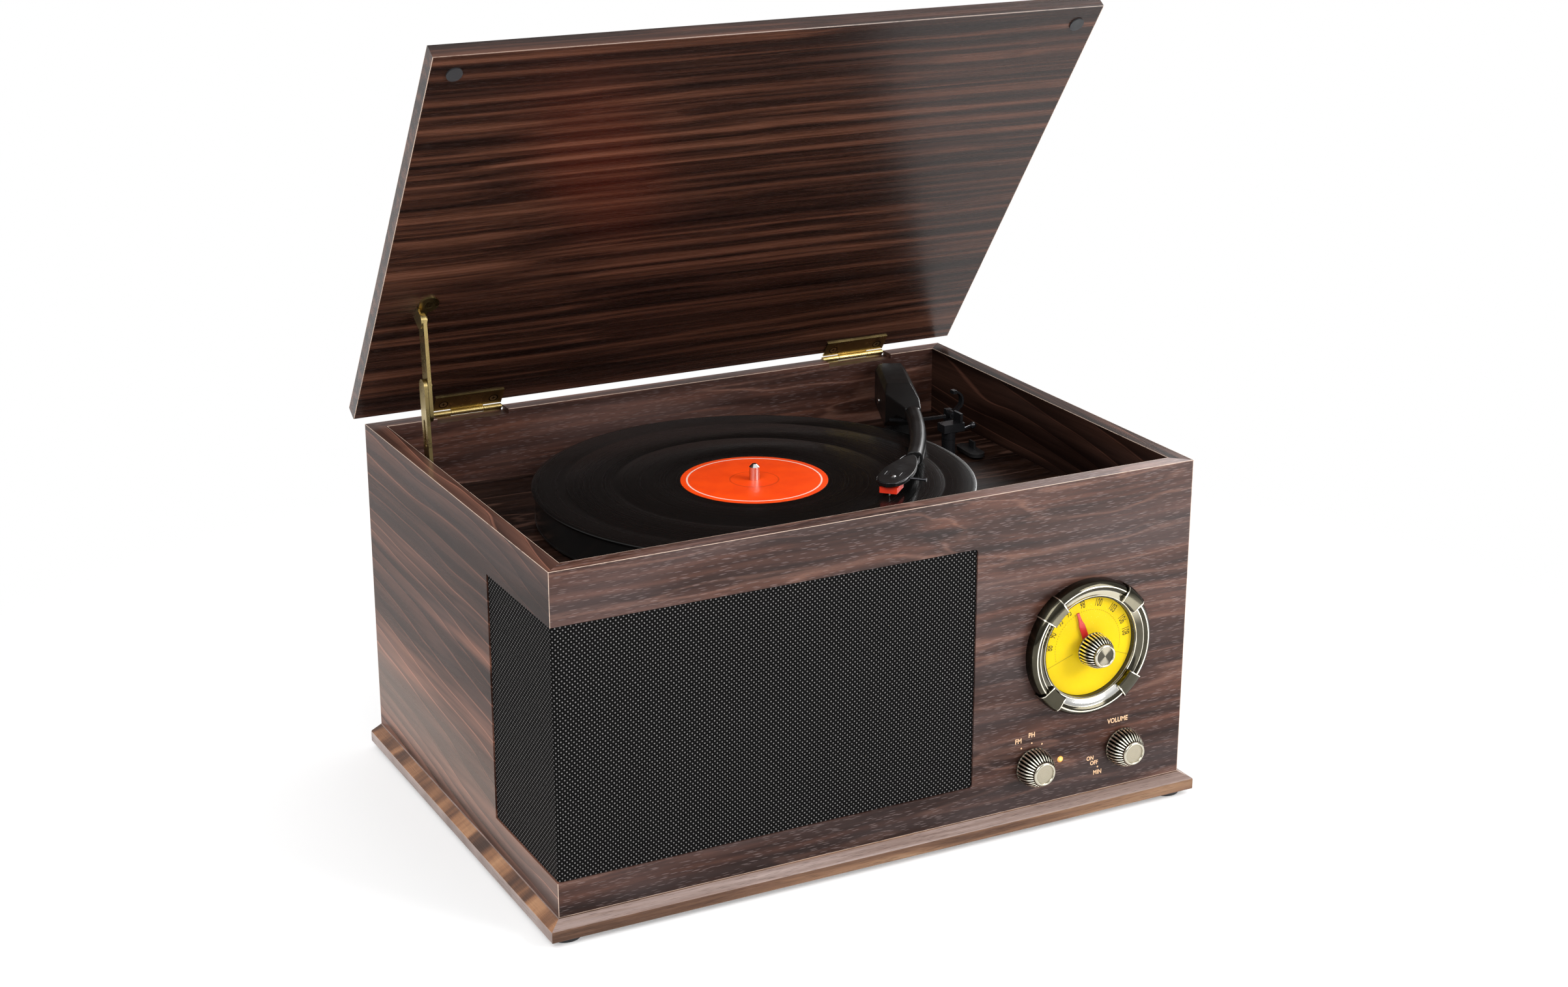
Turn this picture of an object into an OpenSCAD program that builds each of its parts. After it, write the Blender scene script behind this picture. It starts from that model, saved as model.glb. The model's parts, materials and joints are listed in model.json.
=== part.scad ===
// Stereo music centre: a wooden cabinet with a record player under a lid,
// a radio dial and knobs on the front, and a grille that wraps the left corner.
// Millimetres. Origin at the centre of the overall box, on the floor.
// +X is the object's right seen from the front, +Y its back, +Z up.

/* [Cabinet] */
// Outer width of the cabinet
cab_w = 460; // [450:1:480]
// Outer depth of the cabinet
cab_d = 330; // [328:1:350]
// Height of the cabinet walls
cab_h = 225; // [224:1:240]
// Thickness of the walls
wall_t = 12; // [11:0.5:13]
// Thickness of the bottom board
bottom_t = 9; // [6:0.5:12]
// Thickness of the deck that carries the record player
deck_t = 9; // [6:0.5:12]
// Depth of the well, from the rim down to the deck
well_d = 50; // [50:0.5:54]
// Thickness of the divider between speaker and radio chambers
divider_t = 9; // [6:0.5:12]
// Side of the square blocks glued into the corners
block_w = 18; // [12:1:22]

/* [Plinth and feet] */
// Height of the plinth moulding
plinth_h = 12; // [10:0.5:16]
// How far the plinth stands out at the front and sides
plinth_out = 8; // [4:0.5:12]
// Width of the plinth rails
plinth_rail = 34; // [26:1:44]
// Height of the plinth's upright face, below its rounded shoulder
plinth_face = 7.5; // [4:0.5:9]
// Height of the rubber feet
foot_h = 4; // [3:0.5:8]
// Radius of the rubber feet
foot_r = 10; // [7:0.5:12]

/* [Lid] */
// How far the lid stands out at each side
lid_side = 8; // [7:0.5:12]
// How far the closed lid stands out in front
lid_front = 11.4; // [9:0.1:14]
// Thickness of the lid board
lid_t = 11; // [9:0.5:14]
// Chamfer along the lid's front and rear edges
lid_edge = 0.6; // [0.2:0.1:1.5]
// Angle by which the lid stands open
lid_open = 55; // [50:1:60]
// Gap between the closed lid and the rim
lid_gap = 1.2; // [1.2:0.1:2]
// Distance of the lid's rear edge in front of the hinge axis
lid_setback = 5; // [4:0.5:8]
// Gap that the bumpers leave above the rim
bumper_gap = 0.2; // [0.1:0.05:0.4]
// Radius of the bumpers
bumper_r = 5.2; // [4:0.1:6]
// Distance of the bumpers from the lid's front edge
bumper_in = 15; // [14:0.5:17]

/* [Hinges] */
// Distance of each hinge from the middle
hinge_x = 155; // [120:1:180]
// Length of each hinge
hinge_len = 51; // [45:1:60]
// Length of the middle knuckle
knuckle_mid = 24; // [20:1:28]
// Radius of the hinge knuckles
knuckle_r = 2; // [1.8:0.1:2.4]
// Radius of the hinge pin
pin_r = 1; // [0.8:0.05:1.2]
// Thickness of the hinge leaves
leaf_t = 1; // [0.8:0.1:1.2]
// Reach of the lid's leaf from the hinge axis
leaf_reach = 17; // [15:0.5:20]
// Drop of the cabinet's leaf below the hinge axis
leaf_drop = 15; // [13:0.5:18]
// Distance of the hinge axis behind the cabinet's back
hinge_out = 0.6; // [0.5:0.05:0.9]
// Depth of the notch cut in the back's top edge for each hinge
notch_d = 3.4; // [3:0.1:5]
// Distance of the hinge screws from the hinge's middle
hinge_screw_x = 18.6; // [15:0.1:20]
// Radius of a screw's head
screw_head_r = 2.9; // [2.5:0.1:3.2]
// Radius of a screw's shank
screw_r = 1.5; // [1.2:0.1:1.8]

/* [Lid stay] */
// Distance of the upper link's middle plane from the left wall
stay_in = 10; // [9:0.5:12]
// Width of the stay's links
link_w = 10; // [8:0.5:11]
// Thickness of the stay's links
link_t = 2.5; // [2:0.1:2.8]
// Length of the upper link between its pivots
stay_upper_len = 44.4; // [43:0.1:46]
// Tail of the upper link beyond the knee
stay_tail = 24.6; // [18:0.1:28]
// Distance of the stay's lid pivot from the lid's rear edge
stay_lid_back = 105.8; // [102:0.1:110]
// Distance of the stay's lid pivot below the lid
stay_lid_drop = 7.1; // [6.5:0.1:8]
// Distance of the stay's wall pivot from the cabinet's middle
stay_wall_y = 88; // [84:0.5:92]
// Height of the stay's wall pivot above the deck
stay_wall_up = 20; // [18:0.5:24]
// Radius of the stay's pivots
stay_pin_r = 1.5; // [1.2:0.1:1.8]
// Length of the slot in the lower link
slot_len = 19; // [14:0.5:24]

/* [Grille and speakers] */
// Width of the plain wood to the right of the grille
front_plain = 165.7; // [160:0.1:180]
// Reach of the grille along the left side
grille_side = 102.6; // [80:0.5:120]
// Height of the grille's lower edge above the cabinet's bottom
grille_up = 23; // [18:0.5:28]
// Height of the grille
grille_h = 167; // [150:1:180]
// Radius of the grille's two right-hand corners
grille_corner = 2.5; // [1.5:0.5:5]
// Depth of the recess that holds the grille
grille_recess = 7; // [6:0.5:8]
// How far the cloth sits behind the wood
cloth_back = 1; // [0.5:0.1:1.5]
// Thickness of the grille cloth
cloth_t = 1; // [0.6:0.1:1.4]
// Width of the grille frame's bars
grille_bar = 12; // [8:0.5:16]
// Thickness of the baffle board
baffle_t = 9; // [6:0.5:12]
// Distance between the two loudspeakers
speaker_gap = 130; // [112:1:140]
// Height of the loudspeakers above the cabinet's bottom
speaker_up = 88; // [80:1:96]
// Radius of the loudspeakers' openings
speaker_r = 44; // [38:0.5:46]

/* [Turntable] */
// Centre of the platter from the cabinet's middle, across
spin_x = -13; // [-16:0.5:-10]
// Centre of the platter from the cabinet's middle, front to back
spin_y = -2; // [-2:0.25:-1]
// Radius of the record
record_r = 150.5; // [140:0.5:150.5]
// Thickness of the record
record_t = 1.7; // [1.2:0.1:2.2]
// Radius of the record's label
label_r = 50; // [40:0.5:52]
// Thickness of the record's label
label_t = 0.3; // [0.2:0.05:0.5]
// Radius of the platter
platter_r = 148; // [136:0.5:148.5]
// Height of the platter
platter_h = 20; // [19:0.5:22]
// Gap between the platter and the deck
platter_gap = 2.4; // [2.2:0.1:4]
// Thickness of the platter's top and skirt
platter_t = 4; // [3:0.5:5]
// Radius of the drive ring under the platter
ring_r = 60; // [54:0.5:64]
// Thickness of the slip mat
mat_t = 1.5; // [1:0.1:2.5]
// Radius of the slip mat
mat_r = 147; // [130:0.5:148]
// Radius of the spindle
spindle_r = 3.5; // [3.3:0.05:3.6]
// Radius of the shaft below the spindle
axle_r = 4; // [3.8:0.1:5]
// Height of the spindle above the record
spindle_up = 11.3; // [8:0.1:13]
// Running clearance of shafts in their bearings
run_gap = 0.05; // [0.03:0.01:0.08]
// Distance from the platter's centre to the motor
motor_dist = 96; // [92:0.5:100]
// Direction of the motor from the platter's centre
motor_dir = 150; // [140:1:160]
// Radius of the motor
motor_r = 18; // [15:0.5:20]
// Height of the motor
motor_h = 26; // [20:0.5:30]
// Radius of the motor's pulley
pulley_r = 5; // [4:0.1:6]
// Thickness of the drive belt
belt_t = 0.7; // [0.5:0.1:1]
// Height of the drive belt
belt_h = 5; // [4:0.5:6]
// Gap between the belt and what it drives
belt_gap = 0.3; // [0.2:0.05:0.4]

/* [Tonearm] */
// Pivot of the tonearm from the platter's centre, across
arm_dx = 181; // [179:0.5:183]
// Pivot of the tonearm from the platter's centre, front to back
arm_dy = 117; // [116:0.5:118]
// Direction in which the arm leaves its housing
arm_heading = 247.3; // [246:0.1:248]
// Radius of the arm's curve
arm_curve = 465; // [440:1:500]
// Turn of the arm's curve
arm_turn = 13.4; // [12.5:0.1:14]
// Straight length of the arm from its pivot
arm_straight = 58; // [56:0.5:62]
// Width of the arm's tube
arm_w = 11.5; // [9:0.5:12.5]
// Height of the arm's tube
arm_h = 9.5; // [8:0.5:10]
// Gap between the record and the arm's underside
arm_clear = 3.4; // [3:0.1:4]
// Height of the arm's rear housing
housing_h = 29; // [28:0.5:29.5]
// Width of the arm's rear housing
housing_w = 25; // [24:0.5:26]
// Length of the housing behind the pivot
housing_back = 33; // [30:0.5:34]
// Radius of the arm's pedestal
pedestal_r = 10.5; // [10:0.5:13]
// Height of the arm's pedestal
pedestal_h = 15; // [14:0.5:15.5]
// Radius of the pivot that the arm swings on
swing_pin_r = 4; // [3:0.1:5]
// Radius of the pivot that the arm lifts on
lift_pin_r = 1.5; // [1.2:0.1:1.8]
// Distance from the end of the arm's tube to the stylus
shell_reach = 61.3; // [60:0.1:64]
// Length of the headshell
shell_len = 66; // [60:0.5:70]
// Width of the headshell
shell_w = 21.5; // [19:0.5:24]
// Distance of the headshell's front in front of the stylus
shell_front = 8; // [6:0.5:10]
// Offset angle of the headshell
shell_turn = 23.3; // [21:0.1:25]
// Thickness of the headshell
shell_t = 3; // [2.5:0.1:3.5]
// Gap between the stylus and the record
stylus_gap = 0.1; // [0.05:0.05:0.2]

/* [Arm rest and levers] */
// Angle from the arm's place to its rest
park_turn = 19.5; // [18:0.5:20]
// Distance of the arm rest from the arm's pivot
rest_reach = 75; // [73:0.5:77]
// Radius of the arm rest's pillar
pillar_r = 5; // [4:0.5:6]
// Height of the arm rest's pillar above the deck
pillar_h = 17; // [15:0.5:17.5]
// Distance of the lifting bar from the arm's pivot
lift_reach = 56; // [54.5:0.5:58]
// Radius of the lifting post
lift_post_r = 2.5; // [2:0.1:3]
// Length of the cueing lever
cue_len = 30; // [24:0.5:34]
// Direction of the cueing lever at rest
cue_dir = 23; // [18:1:26]
// Radius of the cueing lever's tip
cue_tip_r = 2.6; // [2:0.1:3.2]
// Arm clip's pivot from the arm's pivot, across
clip_dx = 14; // [13:0.5:16]
// Arm clip's pivot from the arm's pivot, front to back
clip_dy = -51; // [-53:0.5:-49]
// Height of the arm clip's pivot above the deck
clip_up = 26.5; // [25.5:0.5:27.5]
// Width of the arm clip
clip_w = 5; // [4:0.5:6]
// Speed lever's pivot from the arm's pivot, across
speed_dx = 20; // [19:0.5:22]
// Speed lever's pivot from the arm's pivot, front to back
speed_dy = -61; // [-63:0.5:-60]
// Length of the speed lever in front of its pivot
speed_len = 18; // [14:0.5:22]
// Width of the speed lever
speed_w = 12; // [9:0.5:13]

/* [Dial] */
// Distance of the dial's centre from the right edge of the front
dial_in = 80; // [75:0.5:85]
// Height of the dial's centre above the cabinet's bottom
dial_up = 108.4; // [104:0.2:114]
// Radius of the dial's face
dial_r = 34.7; // [30:0.1:36]
// Width of the ring round the dial
bezel_w = 10.7; // [8:0.1:12]
// How far the ring stands out
bezel_out = 9.5; // [8.5:0.1:10]
// Thickness of the dial's face
face_t = 2; // [1:0.1:2.4]
// Distance of the lens in front of the wood
lens_out = 5.5; // [5.2:0.1:5.6]
// Thickness of the lens
lens_t = 1.2; // [0.8:0.1:1.6]
// Length of the pointer
pointer_len = 26.7; // [20:0.1:28]
// Angle of the pointer, anticlockwise from the right
pointer_angle = 111; // [100:1:120]
// Angular width of the ring's clamp blocks
clamp_angle = 20; // [14:1:26]

/* [Knobs] */
// How far the tuning knob stands out from the wood
tuning_out = 23.6; // [20:0.1:26]
// Radius of the tuning knob's base
tuning_r = 11.8; // [10:0.1:14]
// Radius of the tuning knob's front disc
tuning_face_r = 7.5; // [6:0.1:8.5]
// Distance of the left small knob from the right edge of the front
select_in = 119.1; // [116:0.1:124]
// Distance of the right small knob from the right edge of the front
volume_in = 47.9; // [44:0.1:54]
// Height of the small knobs above the cabinet's bottom
knob_up = 29.1; // [26:0.1:32]
// How far the small knobs stand out from the wood
knob_out = 16.5; // [14:0.1:18]
// Radius of the small knobs' base
knob_r = 13.4; // [11:0.1:15]
// Radius of the small knobs' front
knob_front_r = 9.6; // [8.6:0.1:10.5]
// Radius of the small knobs' front disc
knob_face_r = 7; // [6:0.1:8]
// Radius of the knobs' shafts
shaft_r = 3; // [2.5:0.1:3.2]
// Gap between a small knob and the wood
knob_gap = 0.6; // [0.4:0.1:1.2]
// Distance of the lamp from the right edge of the front
lamp_in = 97; // [92:0.5:102]
// Radius of the lamp
lamp_r = 2.2; // [1.5:0.1:3]

/* [Electronics] */
// Width of the rear plate
plate_w = 110; // [100:1:120]
// Height of the rear plate
plate_h = 60; // [50:1:70]
// Height of the rear plate's centre above the cabinet's bottom
plate_up = 64; // [60:1:70]
// Thickness of the rear plate
plate_t = 1.5; // [1:0.1:2]
// Radius of a phono socket's sleeve
rca_r = 4.15; // [4:0.05:4.3]
// Length of a phono socket's sleeve
rca_len = 8.5; // [7:0.1:9.5]
// Distance between the phono sockets
rca_gap = 16; // [13:0.5:20]
// Thickness of the circuit boards
board_t = 1.6; // [1.2:0.1:2]
// Height of the amplifier board's standoffs
standoff_h = 6; // [4:0.5:10]

// Width of the amplifier board
amp_w = 100; // [80:1:110]
// Length of the amplifier board
amp_d = 120; // [90:1:130]
// Width of the transformer
mains_w = 52; // [44:1:60]
// Depth of the transformer
mains_d = 40; // [34:1:46]
// Height of the transformer
mains_h = 44; // [36:1:50]

/* [Hidden] */

$fn = 64;
// Small overlap that lets a cut run past a face
eps = 0.5;
// Gap between neighbours that don't touch
seat_gap = 0.3;

// Heights of the cabinet
cab_z = foot_h + plinth_h;
rim_z = cab_z + cab_h;
floor_z = cab_z + bottom_t;
deck_z = rim_z - well_d;
under_z = deck_z - deck_t;
grille_z = cab_z + grille_up;
speaker_z = cab_z + speaker_up;
dial_z = cab_z + dial_up;
knob_z = cab_z + knob_up;

// Faces of the cabinet, measured from its middle
front_y = -cab_d / 2;
back_y = cab_d / 2;
in_front = front_y + wall_t;
in_back = back_y - wall_t;
in_x = cab_w / 2 - wall_t;
grille_right = cab_w / 2 - front_plain;
divider_x = grille_right + grille_bar;
speaker_x = (divider_x - in_x) / 2;

// Lid and hinge
lid_w = cab_w + 2 * lid_side;
lid_d = cab_d + hinge_out - lid_setback + lid_front;
hinge_y = back_y + hinge_out;
lid_lift = knuckle_r;
hinge_z = rim_z + lid_gap - lid_lift;
lid_corners = [[-lid_setback, lid_lift + lid_t - lid_edge],
  [-lid_setback - lid_edge, lid_lift + lid_t]];
lid_back_reach = hinge_out + max([knuckle_r,
  for (p = lid_corners) p[0] * cos(lid_open) + p[1] * sin(lid_open)]);
knuckle_gap = 0.3;
knuckle_end = (hinge_len - knuckle_mid) / 2 - knuckle_gap;
leaf_screw_y = 8.8;
leaf_screw_z = 8.2;
screw_len = 8;
notch_w = hinge_len + 2;

// The cabinet's middle in the part's own frame
cab_y = (tuning_out - lid_back_reach) / 2;

// A point of the closed lid, given from the hinge axis, where it lies when open
function opened(p) = [hinge_y + p[0] * cos(lid_open) + p[1] * sin(lid_open),
  hinge_z - p[0] * sin(lid_open) + p[1] * cos(lid_open)];

// Stay: its pivots on the lid and the wall
stay_p = [-lid_setback - stay_lid_back, lid_lift - stay_lid_drop];
stay_lid = opened(stay_p);
stay_wall = [stay_wall_y, deck_z + stay_wall_up];
stay_span = norm(stay_lid - stay_wall);
stay_dir = atan2(stay_wall[1] - stay_lid[1], stay_wall[0] - stay_lid[0]);
stay_lower_len = stay_span - stay_upper_len;
link_gap = 0.3;
upper_x = -in_x + stay_in - link_t / 2;
lower_x = upper_x - link_gap - link_t;
ear_t = 1.2;
ear_x = upper_x - link_gap - ear_t;
stay_plate_t = 1.5;
rivet_h = 0.9;
// The screw that holds the stay's bracket to the lid
stay_screw_x = upper_x + 6.4;
stay_screw_y = stay_p[0] - 7.9;

// Turntable
platter_z = deck_z + platter_gap;
mat_z = platter_z + platter_h;
record_z = mat_z + mat_t;
record_top = record_z + record_t;
spindle_top = record_top + spindle_up;
bearing_r = axle_r + 4.5;
bearing_flange = platter_gap - 0.6;
bearing_floor = 2;
bearing_low = under_z - 18;
motor_x = spin_x + motor_dist * cos(motor_dir);
motor_y = spin_y + motor_dist * sin(motor_dir);
belt_z = platter_z + 4;
pulley_flange = 1.5;
motor_shaft_r = 1.2;

// Tonearm, in its own frame: X along the arm, Y outwards, origin on the swing axis
arm_x = spin_x + arm_dx;
arm_y = spin_y + arm_dy;
arm_off = 1.5;
arm_z = record_top + arm_clear;
arm_mid_z = arm_z + arm_h / 2;
pedestal_z = deck_z + pedestal_h;
housing_z = pedestal_z + 2;
housing_top = housing_z + housing_h;
housing_right = 9;
housing_left = housing_right - housing_w;
housing_front = 40;
lift_axis_z = record_top;
stylus_x = arm_straight + arm_curve * sin(arm_turn) + shell_reach * cos(shell_turn);
stylus_y = arm_off - arm_curve * (1 - cos(arm_turn)) - shell_reach * sin(shell_turn);
shell_up = 9;
shell_z = record_top + shell_up;
cart_h = 5.6;
cart_w = 12;
cart_len = 17;

// Arm rest, clip, cueing and speed levers
rest_dir = arm_heading + park_turn;
rest_x = arm_x + rest_reach * cos(rest_dir) - arm_off * sin(rest_dir);
rest_y = arm_y + rest_reach * sin(rest_dir) + arm_off * cos(rest_dir);
pillar_z = deck_z + pillar_h;
cue_hub_h = 5;
cradle_z = pillar_z + cue_hub_h + 2 * seat_gap;
cradle_top = arm_z - seat_gap;
lift_top = arm_z - 0.5;
lift_dir = arm_heading + 5;
lift_sleeve_h = lift_top - deck_z - 8;
bore_floor = 1;
clip_pin_r = 1.25;
clip_x = arm_x + clip_dx;
clip_y = arm_y + clip_dy;
clip_z = deck_z + clip_up;
speed_x = arm_x + speed_dx;
speed_y = arm_y + speed_dy;
speed_z = deck_z + 2;

// Rear plate: beside the corner block
plate_x = in_x - block_w - plate_w / 2 - 1;
plate_z = cab_z + plate_up;
amp_x = in_x - block_w - amp_w;
mains_y = in_back - block_w - mains_d - 2;
socket_x = -26;
socket_stem_r = 3;
inlet_x = 24;
inlet_w = 20;
inlet_h = 12;

// Dial and knobs: places across the front, and distances outwards from the wood
dial_x = cab_w / 2 - dial_in;
select_x = cab_w / 2 - select_in;
volume_x = cab_w / 2 - volume_in;
lamp_x = cab_w / 2 - lamp_in;
bezel_r = dial_r + bezel_w;
pointer_d = face_t + 0.9;
lens_r = dial_r + 1.3;
tuning_back = lens_out + lens_t + 1.2;
shaft_in = 14;
shaft_hole = shaft_r + 1;
tuner_can = shaft_in + 4;
board_can = shaft_in + 3;

// Moves geometry from the cabinet's middle to its place in the part
module at_cabinet() {
  translate([0, cab_y, 0])
    children();
}

// Lays geometry drawn for the closed lid, from the hinge axis, on the open lid
module on_lid() {
  translate([0, hinge_y, hinge_z])
    rotate([-lid_open, 0, 0])
      children();
}

// Turns an upright solid to point out of the front, with its base on the wood
module from_front(x, z) {
  translate([x, front_y, z])
    rotate([90, 0, 0])
      children();
}

// Turns an upright solid to lie along +X
module along_x() {
  rotate([0, 90, 0])
    children();
}

// The tonearm's own frame
module arm_frame() {
  translate([arm_x, arm_y, 0])
    rotate(arm_heading)
      children();
}

// A board with both ends mitred, its outer face at y = 0
module mitred_board(length, t, h) {
  linear_extrude(h)
    polygon([[-length / 2, 0], [length / 2, 0], [length / 2 - t, t], [t - length / 2, t]]);
}

// A ring: a tube with a bore through it
module tube(r_out, r_in, h) {
  difference() {
    cylinder(r = r_out, h = h);
    translate([0, 0, -eps])
      cylinder(r = r_in, h = h + 2 * eps);
  }
}

// The shape of a countersunk screw, its head's face at z = 0, pointing down
module screw_shape(gap = 0) {
  head_h = screw_head_r - screw_r;
  translate([0, 0, -head_h])
    cylinder(r1 = screw_r + gap, r2 = screw_head_r + gap, h = head_h, $fn = 32);
  translate([0, 0, -screw_len - gap])
    cylinder(r = screw_r + gap, h = screw_len + gap, $fn = 32);
}

// A plate with round ends, from the origin to [length, 0]
module slotted_bar(length, w, h) {
  cylinder(r = w / 2, h = h);
  translate([length, 0, 0])
    cylinder(r = w / 2, h = h);
  translate([0, -w / 2, 0])
    cube([length, w, h]);
}

// A block with its two right-hand edges rounded, seen from the front
module round_right(x0, x1, y0, y1, z0, z1, r) {
  translate([x0, y0, z0])
    cube([x1 - r - x0, y1 - y0, z1 - z0]);
  translate([x0, y0, z0 + r])
    cube([x1 - x0, y1 - y0, z1 - z0 - 2 * r]);
  for (z = [z0 + r, z1 - r])
    translate([x1 - r, y0, z])
      rotate([-90, 0, 0])
        cylinder(r = r, h = y1 - y0, $fn = 24);
}

// The recess for the grille, cut out of the front and the left side
module grille_pocket() {
  round_right(-cab_w / 2 - eps, grille_right, front_y - eps, front_y + grille_recess,
    grille_z, grille_z + grille_h, grille_corner);
  translate([-cab_w / 2 - eps, front_y - eps, grille_z])
    cube([grille_recess + eps, grille_side + eps, grille_h]);
}

// The space that the grille's own pieces keep to, clear of the recess's edges
module grille_fit() {
  round_right(-cab_w / 2, grille_right - seat_gap, front_y, front_y + grille_side,
    grille_z + seat_gap, grille_z + grille_h - seat_gap, grille_corner - seat_gap);
}

// Openings in front of the loudspeakers
module speaker_holes() {
  for (side = [-1, 1])
    translate([speaker_x + side * speaker_gap / 2, front_y - eps, speaker_z])
      rotate([-90, 0, 0])
        cylinder(r = speaker_r, h = wall_t + baffle_t + 2 * eps);
}

module front_panel() {
  color([0.36, 0.22, 0.17])
    difference() {
      translate([0, front_y, cab_z])
        mitred_board(cab_w, wall_t, cab_h);
      grille_pocket();
      speaker_holes();
      from_front(dial_x, dial_z)
        translate([0, 0, -wall_t - eps])
          cylinder(r = shaft_hole, h = wall_t + 2 * eps);
      for (x = [select_x, volume_x])
        from_front(x, knob_z)
          translate([0, 0, -wall_t - eps])
            cylinder(r = shaft_hole, h = wall_t + 2 * eps);
      from_front(lamp_x, knob_z)
        translate([0, 0, -wall_t - eps])
          cylinder(r = lamp_r + run_gap, h = wall_t + 2 * eps);
    }
}

module left_panel() {
  color([0.33, 0.21, 0.17])
    difference() {
      translate([-cab_w / 2, 0, cab_z])
        rotate(-90)
          mitred_board(cab_d, wall_t, cab_h);
      grille_pocket();
    }
}

module right_panel() {
  color([0.33, 0.21, 0.17])
    translate([cab_w / 2, 0, cab_z])
      rotate(90)
        mitred_board(cab_d, wall_t, cab_h);
}

module back_panel() {
  vent_w = 70;
  vent_h = 4;
  vent_z = plate_z + plate_h / 2 + 8;
  opening_w = plate_w - 16;
  opening_h = plate_h - 16;
  color([0.33, 0.21, 0.17])
    difference() {
      translate([0, back_y, cab_z])
        rotate(180)
          mitred_board(cab_w, wall_t, cab_h);
      for (side = [-1, 1])
        translate([side * hinge_x - notch_w / 2, in_back - eps, rim_z - notch_d])
          cube([notch_w, wall_t + 2 * eps, notch_d + eps]);
      for (side = [-1, 1], screw = [-1, 1])
        back_screw(side * hinge_x + screw * hinge_screw_x)
          screw_shape(run_gap);
      translate([plate_x - opening_w / 2, in_back - eps, plate_z - opening_h / 2])
        cube([opening_w, wall_t + 2 * eps, opening_h]);
      for (row = [0:4])
        translate([plate_x - vent_w / 2, in_back - eps, vent_z + 3 * row * vent_h])
          cube([vent_w, wall_t + 2 * eps, vent_h]);
    }
}

// Turns a screw to point into the back at x, its head on the hinge's leaf
module back_screw(x) {
  translate([x, back_y + leaf_t, hinge_z - leaf_screw_z])
    rotate([-90, 0, 0])
      children();
}

module bottom_board() {
  color([0.45, 0.33, 0.24])
    translate([-in_x, in_front, cab_z])
      cube([2 * in_x, in_back - in_front, bottom_t]);
}

// One length of the plinth's moulding: outer face at y = -plinth_out
module moulding(length) {
  steps = 8;
  shoulder = [for (i = [0:steps])
    [plinth_out * cos(90 * i / steps),
      plinth_face + (plinth_h - plinth_face) * sin(90 * i / steps)]];
  outline = concat([[plinth_out - plinth_rail, 0], [plinth_out, 0]], shoulder,
    [[plinth_out - plinth_rail, plinth_h]]);
  rotate([90, 0, -90])
    linear_extrude(length, center = true)
      polygon(outline);
}

module plinth() {
  outer = cab_w / 2 + plinth_out;
  front = front_y - plinth_out;
  mitre = cab_d;
  color([0.5, 0.33, 0.22])
    translate([0, 0, foot_h]) {
      intersection() {
        translate([0, front_y, 0])
          moulding(2 * outer);
        linear_extrude(plinth_h)
          polygon([[-outer, front], [outer, front], [outer - mitre, front + mitre],
            [mitre - outer, front + mitre]]);
      }
      for (side = [-1, 1])
        intersection() {
          translate([side * cab_w / 2, 0, 0])
            rotate(side * 90)
              moulding(2 * cab_d);
          linear_extrude(plinth_h)
            polygon([[side * outer, front], [side * outer, back_y], [0, back_y],
              [0, front + outer]]);
        }
      translate([-outer + plinth_rail, back_y - plinth_rail + plinth_out, 0])
        cube([2 * outer - 2 * plinth_rail, plinth_rail - plinth_out, plinth_h]);
    }
}

module rubber_feet() {
  inset = foot_r + 4;
  color([0.08, 0.08, 0.08])
    for (x = [-1, 1], y = [front_y - plinth_out + inset, back_y - inset])
      translate([x * (cab_w / 2 + plinth_out - inset), y, 0])
        cylinder(r = foot_r, h = foot_h);
}

module inner_framing() {
  color([0.62, 0.48, 0.33]) {
    translate([divider_x, in_front, floor_z])
      cube([divider_t, in_back - in_front, under_z - floor_z]);
    for (place = [[-in_x, in_back - block_w], [in_x - block_w, in_back - block_w],
        [in_x - block_w, in_front]])
      translate([place[0], place[1], floor_z])
        cube([block_w, block_w, under_z - floor_z]);
  }
}

module deck_board() {
  color([0.25, 0.15, 0.12])
    difference() {
      translate([-in_x, in_front, under_z])
        cube([2 * in_x, in_back - in_front, deck_t]);
      translate([spin_x, spin_y, under_z - eps])
        cylinder(r = bearing_r + seat_gap, h = deck_t + 2 * eps);
      translate([motor_x, motor_y, under_z - eps])
        cylinder(r = pulley_r + 4, h = deck_t + 2 * eps);
    }
}

module speaker_baffle() {
  color([0.5, 0.4, 0.28])
    difference() {
      translate([-in_x, in_front, floor_z])
        cube([divider_x + in_x, baffle_t, under_z - floor_z]);
      speaker_holes();
    }
}

// Outline of the grille from above: an L of the given thickness with a round corner
module grille_path(back, t, r) {
  x0 = -cab_w / 2 + back;
  y0 = front_y + back;
  x1 = grille_right - seat_gap;
  y1 = front_y + grille_side - seat_gap;
  translate([x0 + r, y0])
    square([x1 - x0 - r, t]);
  translate([x0, y0 + r])
    square([t, y1 - y0 - r]);
  translate([x0 + r, y0 + r])
    intersection() {
      difference() {
        circle(r = r);
        circle(r = r - t);
      }
      translate([-r, -r])
        square([r, r]);
    }
}

module grille_frame() {
  back = cloth_back + cloth_t;
  t = grille_recess - back;
  z0 = grille_z + seat_gap;
  h = grille_h - 2 * seat_gap;
  left = -cab_w / 2 + grille_recess;
  panes = [[left + grille_bar, speaker_x - grille_bar / 2],
    [speaker_x + grille_bar / 2, grille_right - grille_bar]];
  color([0.06, 0.06, 0.06])
    difference() {
      intersection() {
        grille_fit();
        translate([0, 0, z0])
          linear_extrude(h)
            grille_path(back, t, t);
      }
      for (pane = panes)
        translate([pane[0], front_y, grille_z + grille_bar])
          cube([pane[1] - pane[0], grille_recess + eps, grille_h - 2 * grille_bar]);
      translate([-cab_w / 2, front_y + grille_recess + grille_bar, grille_z + grille_bar])
        cube([grille_recess + eps, grille_side - grille_recess - 2 * grille_bar,
          grille_h - 2 * grille_bar]);
    }
}

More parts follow.
